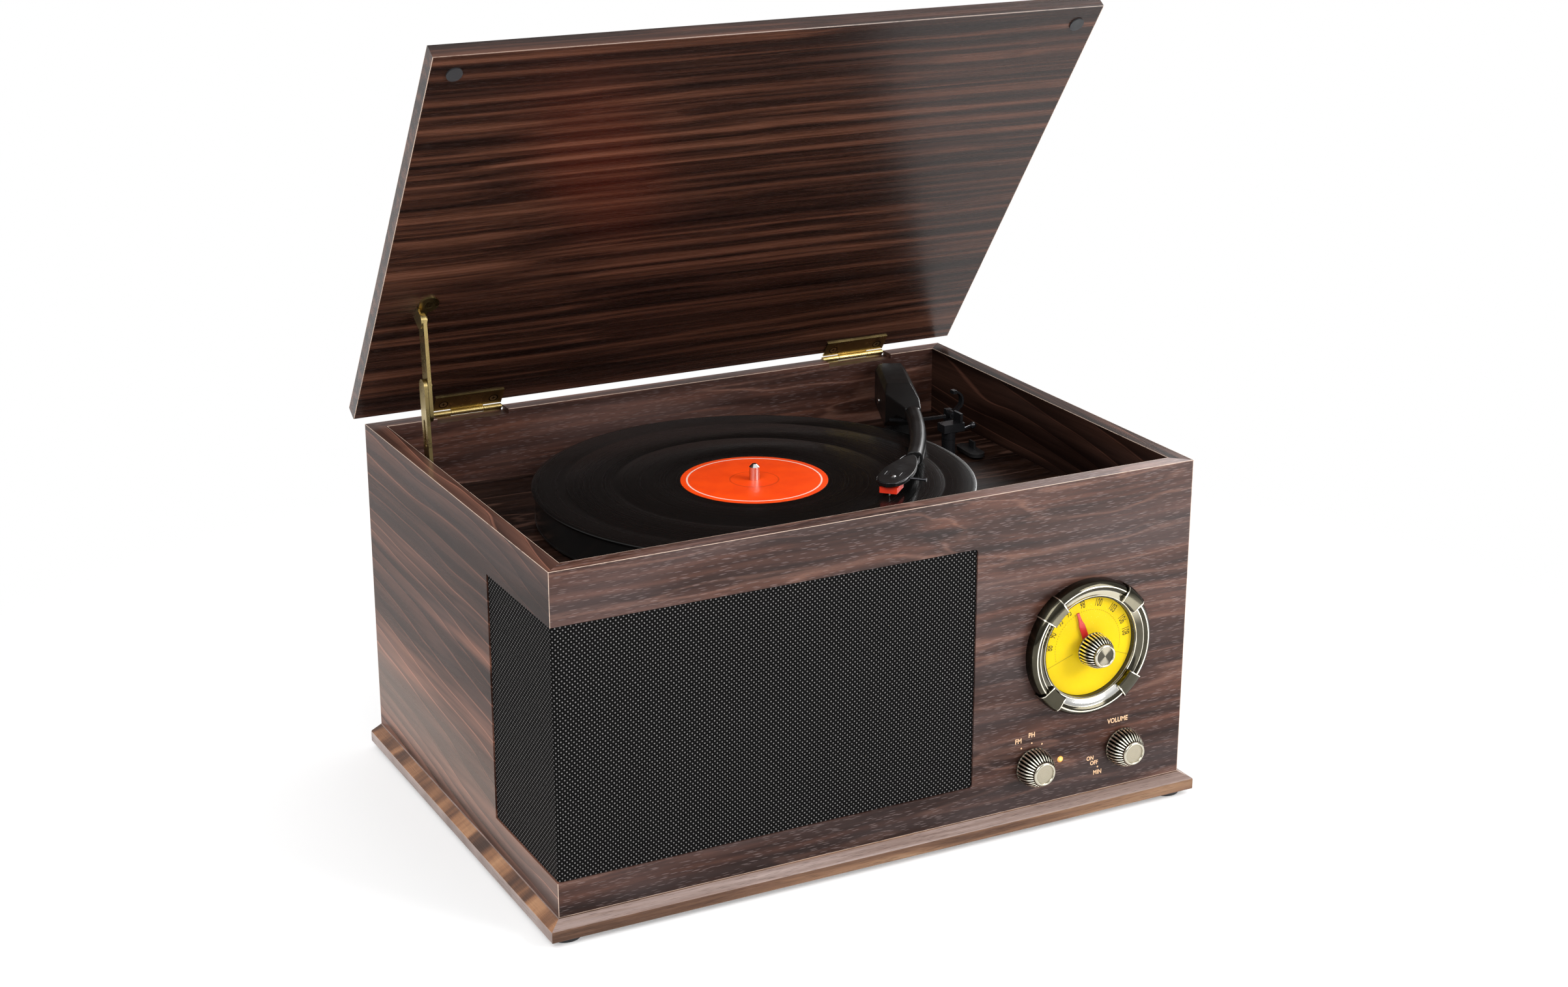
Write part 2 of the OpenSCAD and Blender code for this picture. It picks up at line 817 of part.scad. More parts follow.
module grille_cloth() {
  color([0.1, 0.1, 0.1])
    intersection() {
      grille_fit();
      translate([0, 0, grille_z + seat_gap])
        linear_extrude(grille_h - 2 * seat_gap)
          grille_path(cloth_back, cloth_t, grille_recess - cloth_back);
    }
}

// Places one copy of what is drawn, facing backwards, behind each speaker opening
module at_speakers() {
  for (side = [-1, 1])
    translate([speaker_x + side * speaker_gap / 2, in_front + baffle_t, speaker_z])
      rotate([-90, 0, 0])
        children();
}

module speaker_drivers() {
  flange_t = 2.5;
  flange_r = speaker_r + 7;
  cone_d = 26;
  basket_t = 1.5;
  neck_r = 20;
  magnet_r = 30;
  magnet_h = 14;
  plate_h = 3;
  coil_hole = 8;
  color([0.2, 0.2, 0.21])
    at_speakers() {
      tube(flange_r, speaker_r, flange_t);
      difference() {
        translate([0, 0, flange_t])
          cylinder(r1 = speaker_r + basket_t, r2 = neck_r + basket_t, h = cone_d);
        translate([0, 0, flange_t - 0.01])
          cylinder(r1 = speaker_r, r2 = neck_r, h = cone_d + 0.02);
      }
      translate([0, 0, flange_t + cone_d])
        tube(magnet_r, neck_r - coil_hole, plate_h);
      translate([0, 0, flange_t + cone_d + plate_h])
        cylinder(r = magnet_r, h = magnet_h);
    }
}

module speaker_cones() {
  skin = 0.8;
  edge_r = speaker_r - 1;
  coil_r = 11;
  depth = 24;
  color([0.12, 0.12, 0.12])
    at_speakers()
      translate([0, 0, 0.8])
        rotate_extrude()
          polygon([[edge_r, 0], [edge_r, skin], [edge_r - 6, skin], [coil_r, depth + skin],
            [coil_r, depth + 5], [coil_r - 1, depth + 5], [coil_r - 1, depth - 2],
            [0, depth - 5], [0, depth - 6], [coil_r, depth - 3], [coil_r + 1, depth - 3],
            [edge_r - 6, 0]]);
}

module lid_board() {
  color([0.3, 0.19, 0.14])
    on_lid()
      difference() {
        translate([0, -lid_setback - lid_d, lid_lift])
          lid_slab();
        for (side = [-1, 1], screw = [-1, 1])
          translate([side * hinge_x + screw * hinge_screw_x, -leaf_screw_y, lid_lift - leaf_t])
            rotate([180, 0, 0])
              screw_shape(run_gap);
        translate([stay_screw_x, stay_screw_y, lid_lift - stay_plate_t])
          rotate([180, 0, 0])
            screw_shape(run_gap);
      }
}

// The lid's board with its long edges eased by a small chamfer
module lid_slab() {
  rotate([90, 0, 90])
    linear_extrude(lid_w, center = true)
      polygon([[lid_edge, 0], [lid_d - lid_edge, 0], [lid_d, lid_edge],
        [lid_d, lid_t - lid_edge], [lid_d - lid_edge, lid_t], [lid_edge, lid_t],
        [0, lid_t - lid_edge], [0, lid_edge]]);
}

module lid_bumpers() {
  bumper_x = cab_w / 2 - 8;
  bumper_h = lid_gap - bumper_gap;
  color([0.15, 0.15, 0.15])
    on_lid()
      for (side = [-1, 1])
        translate([side * bumper_x, bumper_in - lid_setback - lid_d, lid_lift - bumper_h])
          cylinder(r = bumper_r, h = bumper_h);
}

// Holes through a leaf for its two screws, the leaf's outer face at z = 0
module leaf_holes() {
  for (screw = [-1, 1])
    translate([screw * hinge_screw_x, 0, 0])
      screw_shape(run_gap);
}

module hinge_cabinet_leaves() {
  color([0.55, 0.45, 0.25])
    for (side = [-1, 1])
      translate([side * hinge_x, hinge_y, hinge_z]) {
        difference() {
          union() {
            translate([-hinge_len / 2, -hinge_out, -leaf_drop])
              cube([hinge_len, leaf_t, leaf_drop]);
            for (end = [-1, 1])
              translate([end * (hinge_len - knuckle_end) / 2 - knuckle_end / 2, 0, 0])
                along_x()
                  cylinder(r = knuckle_r, h = knuckle_end, $fn = 32);
          }
          translate([-knuckle_mid / 2 - knuckle_gap, -knuckle_r - 1, -knuckle_r - knuckle_gap])
            cube([knuckle_mid + 2 * knuckle_gap, 2 * knuckle_r + 2, 2 * knuckle_r + 2]);
          translate([-hinge_len / 2 - eps, 0, 0])
            along_x()
              cylinder(r = pin_r + run_gap, h = hinge_len + 2 * eps, $fn = 32);
          translate([0, leaf_t - hinge_out, -leaf_screw_z])
            rotate([-90, 0, 0])
              leaf_holes();
        }
        translate([-hinge_len / 2 - 1, 0, 0])
          along_x()
            cylinder(r = pin_r, h = hinge_len + 2, $fn = 32);
      }
}

module hinge_lid_leaves() {
  color([0.6, 0.5, 0.28])
    on_lid()
      for (side = [-1, 1])
        translate([side * hinge_x, 0, 0])
          difference() {
            union() {
              translate([-hinge_len / 2, -leaf_reach, lid_lift - leaf_t])
                cube([hinge_len, leaf_reach - knuckle_r - knuckle_gap - 0.5, leaf_t]);
              translate([-knuckle_mid / 2, -leaf_reach, lid_lift - leaf_t])
                cube([knuckle_mid, leaf_reach, leaf_t]);
              translate([-knuckle_mid / 2, 0, 0])
                along_x()
                  cylinder(r = knuckle_r, h = knuckle_mid, $fn = 32);
            }
            translate([-hinge_len / 2 - eps, 0, 0])
              along_x()
                cylinder(r = pin_r + run_gap, h = hinge_len + 2 * eps, $fn = 32);
            translate([0, -leaf_screw_y, lid_lift - leaf_t])
              rotate([180, 0, 0])
                leaf_holes();
          }
}

module lid_screws() {
  color([0.6, 0.5, 0.3])
    on_lid() {
      for (side = [-1, 1], screw = [-1, 1])
        translate([side * hinge_x + screw * hinge_screw_x, -leaf_screw_y, lid_lift - leaf_t])
          rotate([180, 0, 0])
            screw_shape();
      translate([stay_screw_x, stay_screw_y, lid_lift - stay_plate_t])
        rotate([180, 0, 0])
          screw_shape();
    }
}

module cabinet_screws() {
  color([0.6, 0.5, 0.3])
    for (side = [-1, 1], screw = [-1, 1])
      back_screw(side * hinge_x + screw * hinge_screw_x)
        screw_shape();
}

module stay_lid_bracket() {
  ear_r = 5.5;
  pad_r = 7;
  color([0.6, 0.5, 0.28])
    on_lid()
      difference() {
        union() {
          translate([ear_x, stay_p[0] - ear_r, lid_lift - stay_plate_t])
            cube([stay_screw_x - ear_x, 2 * ear_r, stay_plate_t]);
          translate([stay_screw_x, stay_screw_y, lid_lift - stay_plate_t])
            cylinder(r = pad_r, h = stay_plate_t);
          translate([ear_x, stay_p[0] - ear_r, stay_p[1]])
            cube([ear_t, 2 * ear_r, lid_lift - stay_p[1]]);
          translate([ear_x, stay_p[0], stay_p[1]])
            along_x()
              cylinder(r = ear_r, h = ear_t);
          translate([ear_x, stay_p[0], stay_p[1]])
            along_x()
              cylinder(r = stay_pin_r, h = upper_x + link_t + link_gap - ear_x);
          translate([upper_x + link_t + link_gap, stay_p[0], stay_p[1]])
            along_x()
              cylinder(r = 3, h = rivet_h);
        }
        translate([stay_screw_x, stay_screw_y, lid_lift - stay_plate_t])
          rotate([180, 0, 0])
            screw_shape(run_gap);
      }
}

// Lays a link drawn flat, along +X from its first pivot, in its plane at x,
// from a point p of the side view in the direction a
module as_link(x, p, a) {
  translate([x, p[0], p[1]])
    rotate([a, 0, 0])
      rotate([90, 0, 90])
        children();
}

module stay_upper_link() {
  color([0.58, 0.48, 0.27])
    as_link(upper_x, stay_lid, stay_dir) {
      difference() {
        slotted_bar(stay_upper_len + stay_tail - link_w / 2, link_w, link_t);
        translate([0, 0, -eps])
          cylinder(r = stay_pin_r + run_gap, h = link_t + 2 * eps);
      }
      translate([stay_upper_len, 0, link_t])
        cylinder(r = 3.2, h = rivet_h);
    }
}

module stay_lower_link() {
  slot_w = 2 * stay_pin_r;
  slot_start = 24;
  color([0.55, 0.45, 0.25])
    as_link(lower_x, stay_wall, stay_dir + 180)
      difference() {
        slotted_bar(stay_lower_len, link_w, link_t);
        translate([0, 0, -eps])
          cylinder(r = stay_pin_r + run_gap, h = link_t + 2 * eps);
        translate([stay_lower_len - slot_start - slot_len + slot_w, 0, -eps])
          slotted_bar(slot_len - slot_w, slot_w, link_t + 2 * eps);
      }
}

module stay_wall_bracket() {
  plate_r = 9;
  color([0.55, 0.45, 0.25])
    translate([-in_x, stay_wall[0], stay_wall[1]])
      along_x() {
        cylinder(r = plate_r, h = stay_plate_t);
        cylinder(r = 4, h = lower_x + in_x - link_gap);
        cylinder(r = stay_pin_r, h = lower_x + link_t + in_x + seat_gap);
      }
}

module platter() {
  hub_r = 12;
  ring_t = 4;
  lip = 0.5;
  top_in = platter_h - platter_t;
  color([0.05, 0.05, 0.05])
    translate([spin_x, spin_y, platter_z])
      difference() {
        union() {
          difference() {
            cylinder(r = platter_r, h = platter_h, $fn = 128);
            translate([0, 0, -eps])
              cylinder(r = platter_r - platter_t, h = top_in + eps, $fn = 128);
          }
          tube(platter_r + lip, platter_r - 1, 1.2);
          translate([0, 0, belt_z - platter_z - 1])
            tube(ring_r, ring_r - ring_t, top_in - belt_z + platter_z + 1.5);
          translate([0, 0, 1])
            cylinder(r = hub_r, h = platter_h - 1);
        }
        translate([0, 0, -eps])
          cylinder(r = axle_r + run_gap, h = platter_h + 2 * eps);
      }
}

// A flat ring on the platter's axis
module spin_ring(z, r_out, r_in, h) {
  translate([spin_x, spin_y, z])
    tube(r_out, r_in, h, $fn = 128);
}

module slip_mat() {
  color([0.1, 0.1, 0.1])
    spin_ring(mat_z, mat_r, spindle_r + seat_gap, mat_t);
}

module record() {
  color([0.04, 0.04, 0.04])
    difference() {
      spin_ring(record_z, record_r, spindle_r + run_gap, record_t);
      translate([spin_x, spin_y, record_top - label_t / 2])
        cylinder(r = label_r + run_gap, h = label_t);
    }
}

module record_label() {
  color([0.7, 0.3, 0.12])
    spin_ring(record_top - label_t / 2, label_r, spindle_r + seat_gap, label_t);
}

module spindle() {
  tip = 2;
  color([0.75, 0.75, 0.76])
    translate([spin_x, spin_y, 0]) {
      translate([0, 0, bearing_low + bearing_floor + seat_gap])
        cylinder(r = axle_r, h = mat_z - bearing_low - bearing_floor - seat_gap);
      translate([0, 0, mat_z])
        cylinder(r = spindle_r, h = spindle_top - tip - mat_z);
      translate([0, 0, spindle_top - tip])
        cylinder(r1 = spindle_r, r2 = spindle_r - tip, h = tip);
    }
}

module bearing_housing() {
  color([0.6, 0.6, 0.62])
    translate([spin_x, spin_y, 0])
      difference() {
        union() {
          translate([0, 0, bearing_low])
            cylinder(r = bearing_r, h = deck_z - bearing_low + bearing_flange);
          translate([0, 0, deck_z])
            cylinder(r = bearing_r + 8, h = bearing_flange);
        }
        translate([0, 0, bearing_low + bearing_floor])
          cylinder(r = axle_r + run_gap, h = deck_z);
      }
}

module motor() {
  color([0.55, 0.55, 0.57])
    translate([motor_x, motor_y, under_z - motor_h])
      difference() {
        union() {
          cylinder(r = motor_r, h = motor_h);
          cylinder(r = pulley_r, h = motor_h + deck_t / 2);
        }
        translate([0, 0, motor_h / 2])
          cylinder(r = motor_shaft_r + run_gap, h = motor_h + deck_t);
      }
}

module motor_pulley() {
  shaft_low = under_z - motor_h / 2 + seat_gap;
  pulley_h = belt_h + 2 * pulley_flange + 1;
  color([0.75, 0.65, 0.35])
    translate([motor_x, motor_y, 0]) {
      translate([0, 0, shaft_low])
        cylinder(r = motor_shaft_r, h = belt_z - shaft_low);
      translate([0, 0, belt_z - pulley_flange - 0.5])
        cylinder(r = pulley_r, h = pulley_h);
      for (z = [belt_z - pulley_flange - 0.5, belt_z + belt_h + 0.5])
        translate([0, 0, z])
          cylinder(r = pulley_r + 1.5, h = pulley_flange);
    }
}

// The area inside a belt that runs round the drive ring and the pulley
module belt_area(grow) {
  hull() {
    circle(r = ring_r + grow, $fn = 96);
    rotate(motor_dir)
      translate([motor_dist, 0])
        circle(r = pulley_r + grow, $fn = 32);
  }
}

module drive_belt() {
  color([0.1, 0.1, 0.1])
    translate([spin_x, spin_y, belt_z])
      linear_extrude(belt_h)
        difference() {
          belt_area(belt_gap + belt_t);
          belt_area(belt_gap);
        }
}

module tonearm_base() {
  flange = 3;
  sleeve_r = lift_post_r + 2.5;
  color([0.12, 0.12, 0.12])
    difference() {
      union() {
        translate([arm_x, arm_y, deck_z])
          cylinder(r = pedestal_r, h = pedestal_h);
        translate([arm_x, arm_y, deck_z])
          cylinder(r = pedestal_r + flange, h = 2);
        translate([arm_x, arm_y, deck_z])
          rotate(lift_dir)
            slotted_bar(lift_reach, 2 * sleeve_r, 2);
        at_lift(deck_z)
          cylinder(r = sleeve_r, h = lift_sleeve_h);
      }
      translate([arm_x, arm_y, deck_z + bore_floor])
        cylinder(r = swing_pin_r + run_gap, h = pedestal_h);
      at_lift(deck_z + bore_floor)
        cylinder(r = lift_post_r + run_gap, h = lift_sleeve_h);
    }
}

// The axis of the lifting post
module at_lift(z) {
  translate([arm_x, arm_y, z])
    rotate(lift_dir)
      translate([lift_reach, 0, 0])
        children();
}

module cue_lift() {
  bar_w = 2.4;
  bar_h = 2;
  low = deck_z + bore_floor + seat_gap;
  color([0.3, 0.3, 0.32]) {
    at_lift(low)
      cylinder(r = lift_post_r, h = lift_top - bar_h - low + 0.1);
    translate([arm_x, arm_y, lift_top - bar_h])
      rotate(arm_heading - 15)
        rotate_extrude(angle = park_turn + 24)
          translate([lift_reach - bar_w / 2, 0])
            square([bar_w, bar_h]);
  }
}

module tonearm_yoke() {
  block = [14, 11];
  low = pedestal_z + seat_gap;
  high = lift_axis_z + 5;
  post_low = deck_z + bore_floor + seat_gap;
  color([0.35, 0.35, 0.37])
    arm_frame() {
      translate([-block[0] / 2, -block[1] / 2, low])
        cube([block[0], block[1], high - low]);
      translate([0, 0, post_low])
        cylinder(r = swing_pin_r, h = low - post_low + 1);
      translate([0, housing_left - 0.3, lift_axis_z])
        rotate([-90, 0, 0])
          cylinder(r = lift_pin_r, h = housing_w + 0.6, $fn = 32);
    }
}

// Section of the arm's tube, centred, with rounded corners
function tube_outline(w, h, r) = [for (corner = [[1, 1, 0], [-1, 1, 90], [-1, -1, 180], [1, -1, 270]])
  for (i = [0:4])
    let (a = corner[2] + 22.5 * i)
      [corner[0] * (w / 2 - r) + r * cos(a), corner[1] * (h / 2 - r) + r * sin(a)]];

// The rear housing: its plan, side and end outlines cut out of each other
module housing_shape() {
  taper_end = arm_straight + 4;
  chamfer = 8;
  bevel_w = 5;
  bevel_h = 7;
  left = housing_left;
  right = housing_right;
  nose_l = arm_off - arm_w / 2;
  nose_r = arm_off + arm_w / 2;
  intersection() {
    translate([0, 0, housing_z])
      linear_extrude(housing_h)
        polygon([[-housing_back + 2, right - 1], [-housing_back, right - 4],
          [-housing_back, left + chamfer + 2], [-housing_back + chamfer, left],
          [housing_front, left], [taper_end, nose_l], [taper_end, nose_r],
          [housing_front + 6, right - 1], [housing_front - 2, right],
          [-housing_back + 8, right]]);
    translate([0, 50, 0])
      rotate([90, 0, 0])
        linear_extrude(100)
          polygon([[-housing_back, housing_z + 3], [-housing_back + 3, housing_z],
            [housing_front - 4, housing_z], [housing_front + 12, arm_z + 0.5],
            [taper_end, arm_z + 0.5],
            [taper_end, arm_z + arm_h - 0.5], [housing_front - 16, housing_top],
            [-housing_back + 3, housing_top], [-housing_back, housing_top - 3]]);
    translate([-housing_back - 1, 0, 0])
      rotate([90, 0, 90])
        linear_extrude(housing_back + taper_end + 2)
          polygon([[left, housing_z - 1], [right, housing_z - 1],
            [right, housing_top - bevel_h], [right - bevel_w, housing_top],
            [left + 3, housing_top], [left, housing_top - 3]]);
  }
}

module tonearm() {
  edge_r = 4;
  skin = 3;
  cavity = [34, housing_w - 2 * skin];
  color([0.06, 0.06, 0.06])
    arm_frame()
      difference() {
        union() {
          housing_shape();
          translate([housing_front, arm_off, arm_mid_z])
            rotate([90, 0, 90])
              linear_extrude(arm_straight - housing_front + 0.01)
                polygon(tube_outline(arm_w, arm_h, edge_r));
          translate([arm_straight, arm_off - arm_curve, arm_mid_z])
            rotate(90 - arm_turn)
              rotate_extrude(angle = arm_turn, $fn = 360)
                translate([arm_curve, 0])
                  polygon(tube_outline(arm_w, arm_h, edge_r));
        }
        translate([-cavity[0] / 2, housing_left + skin, housing_z - eps])
          cube([cavity[0], cavity[1], lift_axis_z + 9 - housing_z + eps]);
        translate([0, housing_left - eps, lift_axis_z])
          rotate([-90, 0, 0])
            cylinder(r = lift_pin_r + run_gap, h = housing_w + 2 * eps, $fn = 32);
      }
}

// The headshell's frame: origin above the stylus, X forwards
module shell_frame() {
  arm_frame()
    translate([stylus_x, stylus_y, 0])
      rotate(-shell_turn)
        children();
}

// Plan of the headshell: a pointed oval, as wide as w
module shell_plan(length, w, front) {
  steps = 20;
  half = [for (i = [0:steps]) let (t = i / steps)
    [front - length * t, w / 2 * pow(sin(180 * pow(t, 0.72)), 0.62)]];
  lower = [for (i = [steps - 1:-1:1]) [half[i][0], -half[i][1]]];
  polygon(concat(half, lower));
}

module headshell() {
  neck_end = arm_w / 2 * tan(shell_turn - arm_turn) - shell_reach;
  neck_len = 25;
  neck_h = 3;
  color([0.08, 0.08, 0.08])
    shell_frame() {
      translate([0, 0, shell_z])
        linear_extrude(shell_t)
          difference() {
            shell_plan(shell_len, shell_w, shell_front);
            for (side = [-1, 1])
              translate([-14, side * 5.2])
                slot_area(9, 2.4);
          }
      translate([neck_end, -arm_w / 2 + 1.5, shell_z - neck_h])
        cube([neck_len, arm_w - 3, neck_h]);
    }
}

// Area of a slot along X, centred
module slot_area(length, w) {
  square([length - w, w], center = true);
  for (side = [-1, 1])
    translate([side * (length - w) / 2, 0])
      circle(d = w, $fn = 24);
}

module cartridge() {
  color([0.85, 0.1, 0.06])
    shell_frame() {
      translate([-cart_len + 4, -cart_w / 2, shell_z - cart_h])
        cube([cart_len - 1, cart_w, cart_h - 1.6]);
      translate([-cart_len + 6, -cart_w / 2 + 2, shell_z - 1.6])
        cube([cart_len - 6, cart_w - 4, 1.6]);
    }
}

module stylus() {
  low = record_top + stylus_gap;
  high = shell_z - cart_h;
  color([0.8, 0.8, 0.8])
    shell_frame() {
      translate([0, 0, low])
        cylinder(r1 = 0.15, r2 = 0.6, h = 1.4, $fn = 24);
      translate([0, 0, low + 1.3])
        cylinder(r = 0.6, h = high - low - 1.3, $fn = 24);
    }
}

module finger_lift() {
  length = 12;
  rod_r = 0.9;
  reach = shell_w / 2 - 0.6;
  color([0.3, 0.3, 0.3])
    shell_frame()
      translate([-12, reach, shell_z + shell_t / 2])
        rotate([-90, 0, 0]) {
          cylinder(r = rod_r, h = length, $fn = 24);
          translate([0, 0, length - 1.2])
            cylinder(r = rod_r + 0.5, h = 1.2, $fn = 24);
        }
}

module arm_rest() {
  hub_back = clip_w / 2 + seat_gap;
  post_d = 4;
  web = [clip_x - rest_x, clip_y + hub_back + post_d / 2 - rest_y];
  web_t = 1.5;
  cradle_w = 13;
  cradle_d = 10;
  stop_x = arm_w / 2 + 1;
  color([0.14, 0.14, 0.15]) {
    translate([rest_x, rest_y, deck_z]) {
      cylinder(r = pillar_r + 3, h = 2);
      cylinder(r = pillar_r, h = pillar_h);
      cylinder(r = pillar_r / 2, h = cradle_top - deck_z);
    }
    translate([rest_x, rest_y, cradle_z]) {
      translate([-cradle_w / 2, -cradle_d / 2, 0])
        cube([cradle_w + 4, cradle_d, cradle_top - cradle_z]);
      translate([stop_x, -cradle_d / 2, 0])
        cube([2, cradle_d, cradle_top - cradle_z + 7]);
    }
    translate([rest_x, rest_y, deck_z])
      rotate(atan2(web[1], web[0]))
        translate([2, -web_t / 2, 0])
          cube([norm(web) - 2, web_t, pillar_h - 3]);
    translate([clip_x - clip_w / 2, clip_y + hub_back, deck_z])
      cube([clip_w, post_d, clip_z - deck_z + 3]);
    translate([clip_x, clip_y + hub_back + 1, clip_z])
      rotate([90, 0, 0])
        cylinder(r = clip_pin_r, h = clip_w / 2 + hub_back + 1.6, $fn = 32);
  }
}

// A strip of the given thickness along a line of points
function strip(pts, t) = let (n = len(pts) - 1, side = [for (i = [0:n])
  let (d = pts[min(i + 1, n)] - pts[max(i - 1, 0)]) [-d[1], d[0]] / norm(d) * t / 2])
  concat([for (i = [0:n]) pts[i] + side[i]], [for (i = [n:-1:0]) pts[i] - side[i]]);

// Middle line of the arm clip, from its pivot: out, round and back over itself
function clip_line(n) = concat([[0, 0]],
  [for (i = [0:n]) let (a = -35 + 125 * i / n) [1.8 + 6.4 * cos(a), 9.8 + 7.2 * sin(a)]]);

module arm_clip() {
  strip_t = 1.4;
  color([0.2, 0.2, 0.2])
    translate([clip_x, clip_y, clip_z])
      rotate([90, 0, 0])
        translate([0, 0, -clip_w / 2]) {
          difference() {
            union() {
              cylinder(r = 2.8, h = clip_w, $fn = 32);
              linear_extrude(clip_w)
                polygon(strip(clip_line(12), strip_t));
              translate([0, 15.6, 0])
                cube([3, 2.6, clip_w]);
            }
            translate([0, 0, -eps])
              cylinder(r = clip_pin_r + run_gap, h = clip_w + 2 * eps, $fn = 32);
          }
        }
}

module cue_lever() {
  rod_r = 1.2;
  bore_r = pillar_r / 2 + run_gap;
  color([0.3, 0.3, 0.32])
    translate([rest_x, rest_y, pillar_z + seat_gap])
      rotate(cue_dir) {
        tube(pillar_r, bore_r, cue_hub_h);
        translate([pillar_r - 1, 0, cue_hub_h / 2])
          along_x()
            cylinder(r = rod_r, h = cue_len - pillar_r, $fn = 24);
        translate([cue_len, 0, cue_hub_h / 2])
          sphere(r = cue_tip_r, $fn = 32);
      }
}

module speed_lever() {
  lever_t = 2.5;
  tab_h = 5;
  pivot_r = 2.5;
  lever_dir = -94;
  color([0.07, 0.07, 0.07])
    translate([speed_x, speed_y, speed_z])
      rotate(lever_dir) {
        slotted_bar(speed_len, speed_w, lever_t);
        translate([2, 2, lever_t])
          cube([8, 1.5, tab_h]);
        translate([0, 0, 1 - (speed_z - deck_z) - 0.7])
          cylinder(r = pivot_r, h = speed_z - deck_z);
      }
}

module dial_bezel() {
  face_r = dial_r + 0.2;
  color([0.4, 0.38, 0.33])
    from_front(dial_x, dial_z) {
      rotate_extrude($fn = 96)
        polygon([[face_r, 0], [bezel_r, 0], [bezel_r, bezel_out - 3.6],
          [bezel_r - 1.2, bezel_out - 1.2],
          [bezel_r - 3, bezel_out], [bezel_r - 4.8, bezel_out], [bezel_r - 5.4, bezel_out - 1.4],
          [bezel_r - 7.2, bezel_out - 1.4], [bezel_r - 8, bezel_out - 2.6], [lens_r, bezel_out - 2.8],
          [lens_r, lens_out], [face_r, lens_out]]);
      for (i = [0:3])
        rotate(45 + 90 * i - clamp_angle / 2)
          rotate_extrude(angle = clamp_angle)
            polygon([[bezel_r - 0.5, 0], [bezel_r + 1.2, 0], [bezel_r + 1.2, bezel_out - 2],
              [bezel_r - 1.5, bezel_out + 1], [lens_r + 1.2, bezel_out + 1],
              [lens_r + 0.4, bezel_out - 1],
              [lens_r + 0.4, bezel_out - 3.2], [bezel_r - 5, bezel_out - 4]]);
    }
}

module dial_face() {
  color([0.95, 0.8, 0.02])
    from_front(dial_x, dial_z)
      tube(dial_r, shaft_hole, face_t);
}

module dial_lens() {
  color([0.9, 0.93, 0.95, 0.3])
    from_front(dial_x, dial_z)
      translate([0, 0, lens_out])
        tube(lens_r - seat_gap, shaft_hole, lens_t);
}

module dial_pointer() {
  hub_r = 7;
  pointer_t = 0.9;
  color([0.8, 0.15, 0.02])
    from_front(dial_x, dial_z)
      translate([0, 0, pointer_d])
        difference() {
          union() {
            cylinder(r = hub_r, h = pointer_t);
            linear_extrude(pointer_t)
              rotate(pointer_angle)
                polygon([[0, -2.6], [14, -1.7], [pointer_len, -0.6],
                  [pointer_len, 0.6], [14, 1.7], [0, 2.6]]);
          }
          translate([0, 0, -eps])
            cylinder(r = shaft_r + run_gap, h = pointer_t + 2 * eps);
        }
}

// A turned knob on its shaft: the outline runs from the base to the front's dished disc
module turned_knob(base_r, front_r, face_r, base_d, out) {
  depth = out - base_d;
  rotate_extrude($fn = 72)
    polygon([[0, base_d], [base_r, base_d], [base_r, base_d + 1.6],
      [base_r - 0.5, base_d + depth * 0.45],
      [front_r + 0.9, out - 2.2], [front_r, out - 0.7], [front_r - 1, out], [face_r, out],
      [face_r, out - 1], [0, out - 1]]);
  translate([0, 0, -wall_t - shaft_in])
    cylinder(r = shaft_r, h = wall_t + shaft_in + base_d + 1);
}

module tuning_knob() {
  color([0.5, 0.48, 0.44])
    from_front(dial_x, dial_z)
      turned_knob(tuning_r, tuning_face_r + 1.5, tuning_face_r, tuning_back, tuning_out);
}

module selector_knob() {
  color([0.55, 0.5, 0.42])
    from_front(select_x, knob_z)
      turned_knob(knob_r, knob_front_r, knob_face_r, knob_gap, knob_out);
}

module volume_knob() {
  color([0.55, 0.5, 0.42])
    from_front(volume_x, knob_z)
      turned_knob(knob_r, knob_front_r, knob_face_r, knob_gap, knob_out);
}

// A round control with a bore for its shaft, fixed behind the front
module shaft_can(r, length) {
  translate([0, 0, -wall_t - length])
    difference() {
      cylinder(r = r, h = length);
      translate([0, 0, length - shaft_in - seat_gap])
        cylinder(r = shaft_r + run_gap, h = length);
    }
}

module tuner_unit() {
  box_w = 46;
  box_d = 30;
  color([0.65, 0.65, 0.67]) {
    from_front(dial_x, dial_z)
      shaft_can(9, tuner_can);
    translate([dial_x - box_w / 2, in_front + tuner_can, dial_z - box_w / 2])
      cube([box_w, box_d, box_w]);
  }
}

module control_board() {
  board_h = 34;
  board_w = volume_x - select_x + 34;
  color([0.1, 0.35, 0.15]) {
    for (x = [select_x, volume_x])
      from_front(x, knob_z)
        shaft_can(8.5, board_can);
    translate([(select_x + volume_x - board_w) / 2, in_front + board_can, floor_z + 2])
      cube([board_w, board_t, board_h]);
    translate([lamp_x - 3, in_front + 4, knob_z - 3])
      cube([6, board_can - 4, 6]);
  }
}

module lamp() {
  color([0.95, 0.55, 0.1])
    from_front(lamp_x, knob_z) {
      translate([0, 0, -wall_t - 4])
        cylinder(r = lamp_r, h = wall_t + 4.2);
      translate([0, 0, 0.1])
        cylinder(r1 = lamp_r, r2 = lamp_r / 2, h = 1);
    }
}

module amplifier_board() {
  inset = 6;
  can_r = 9;
  can_h = 28;
  sink = [26, 70, 30];
  color([0.1, 0.35, 0.15])
    translate([amp_x, mains_y - 3 - amp_d, floor_z]) {
      for (x = [inset, amp_w - inset], y = [inset, amp_d - inset])
        translate([x, y, 0])
          cylinder(r = 3, h = standoff_h);
      translate([0, 0, standoff_h])
        cube([amp_w, amp_d, board_t]);
      for (y = [20, 46])
        translate([24, y, standoff_h + board_t])
          cylinder(r = can_r, h = can_h);
      translate([60, 20, standoff_h + board_t])
        cube(sink);
    }
}

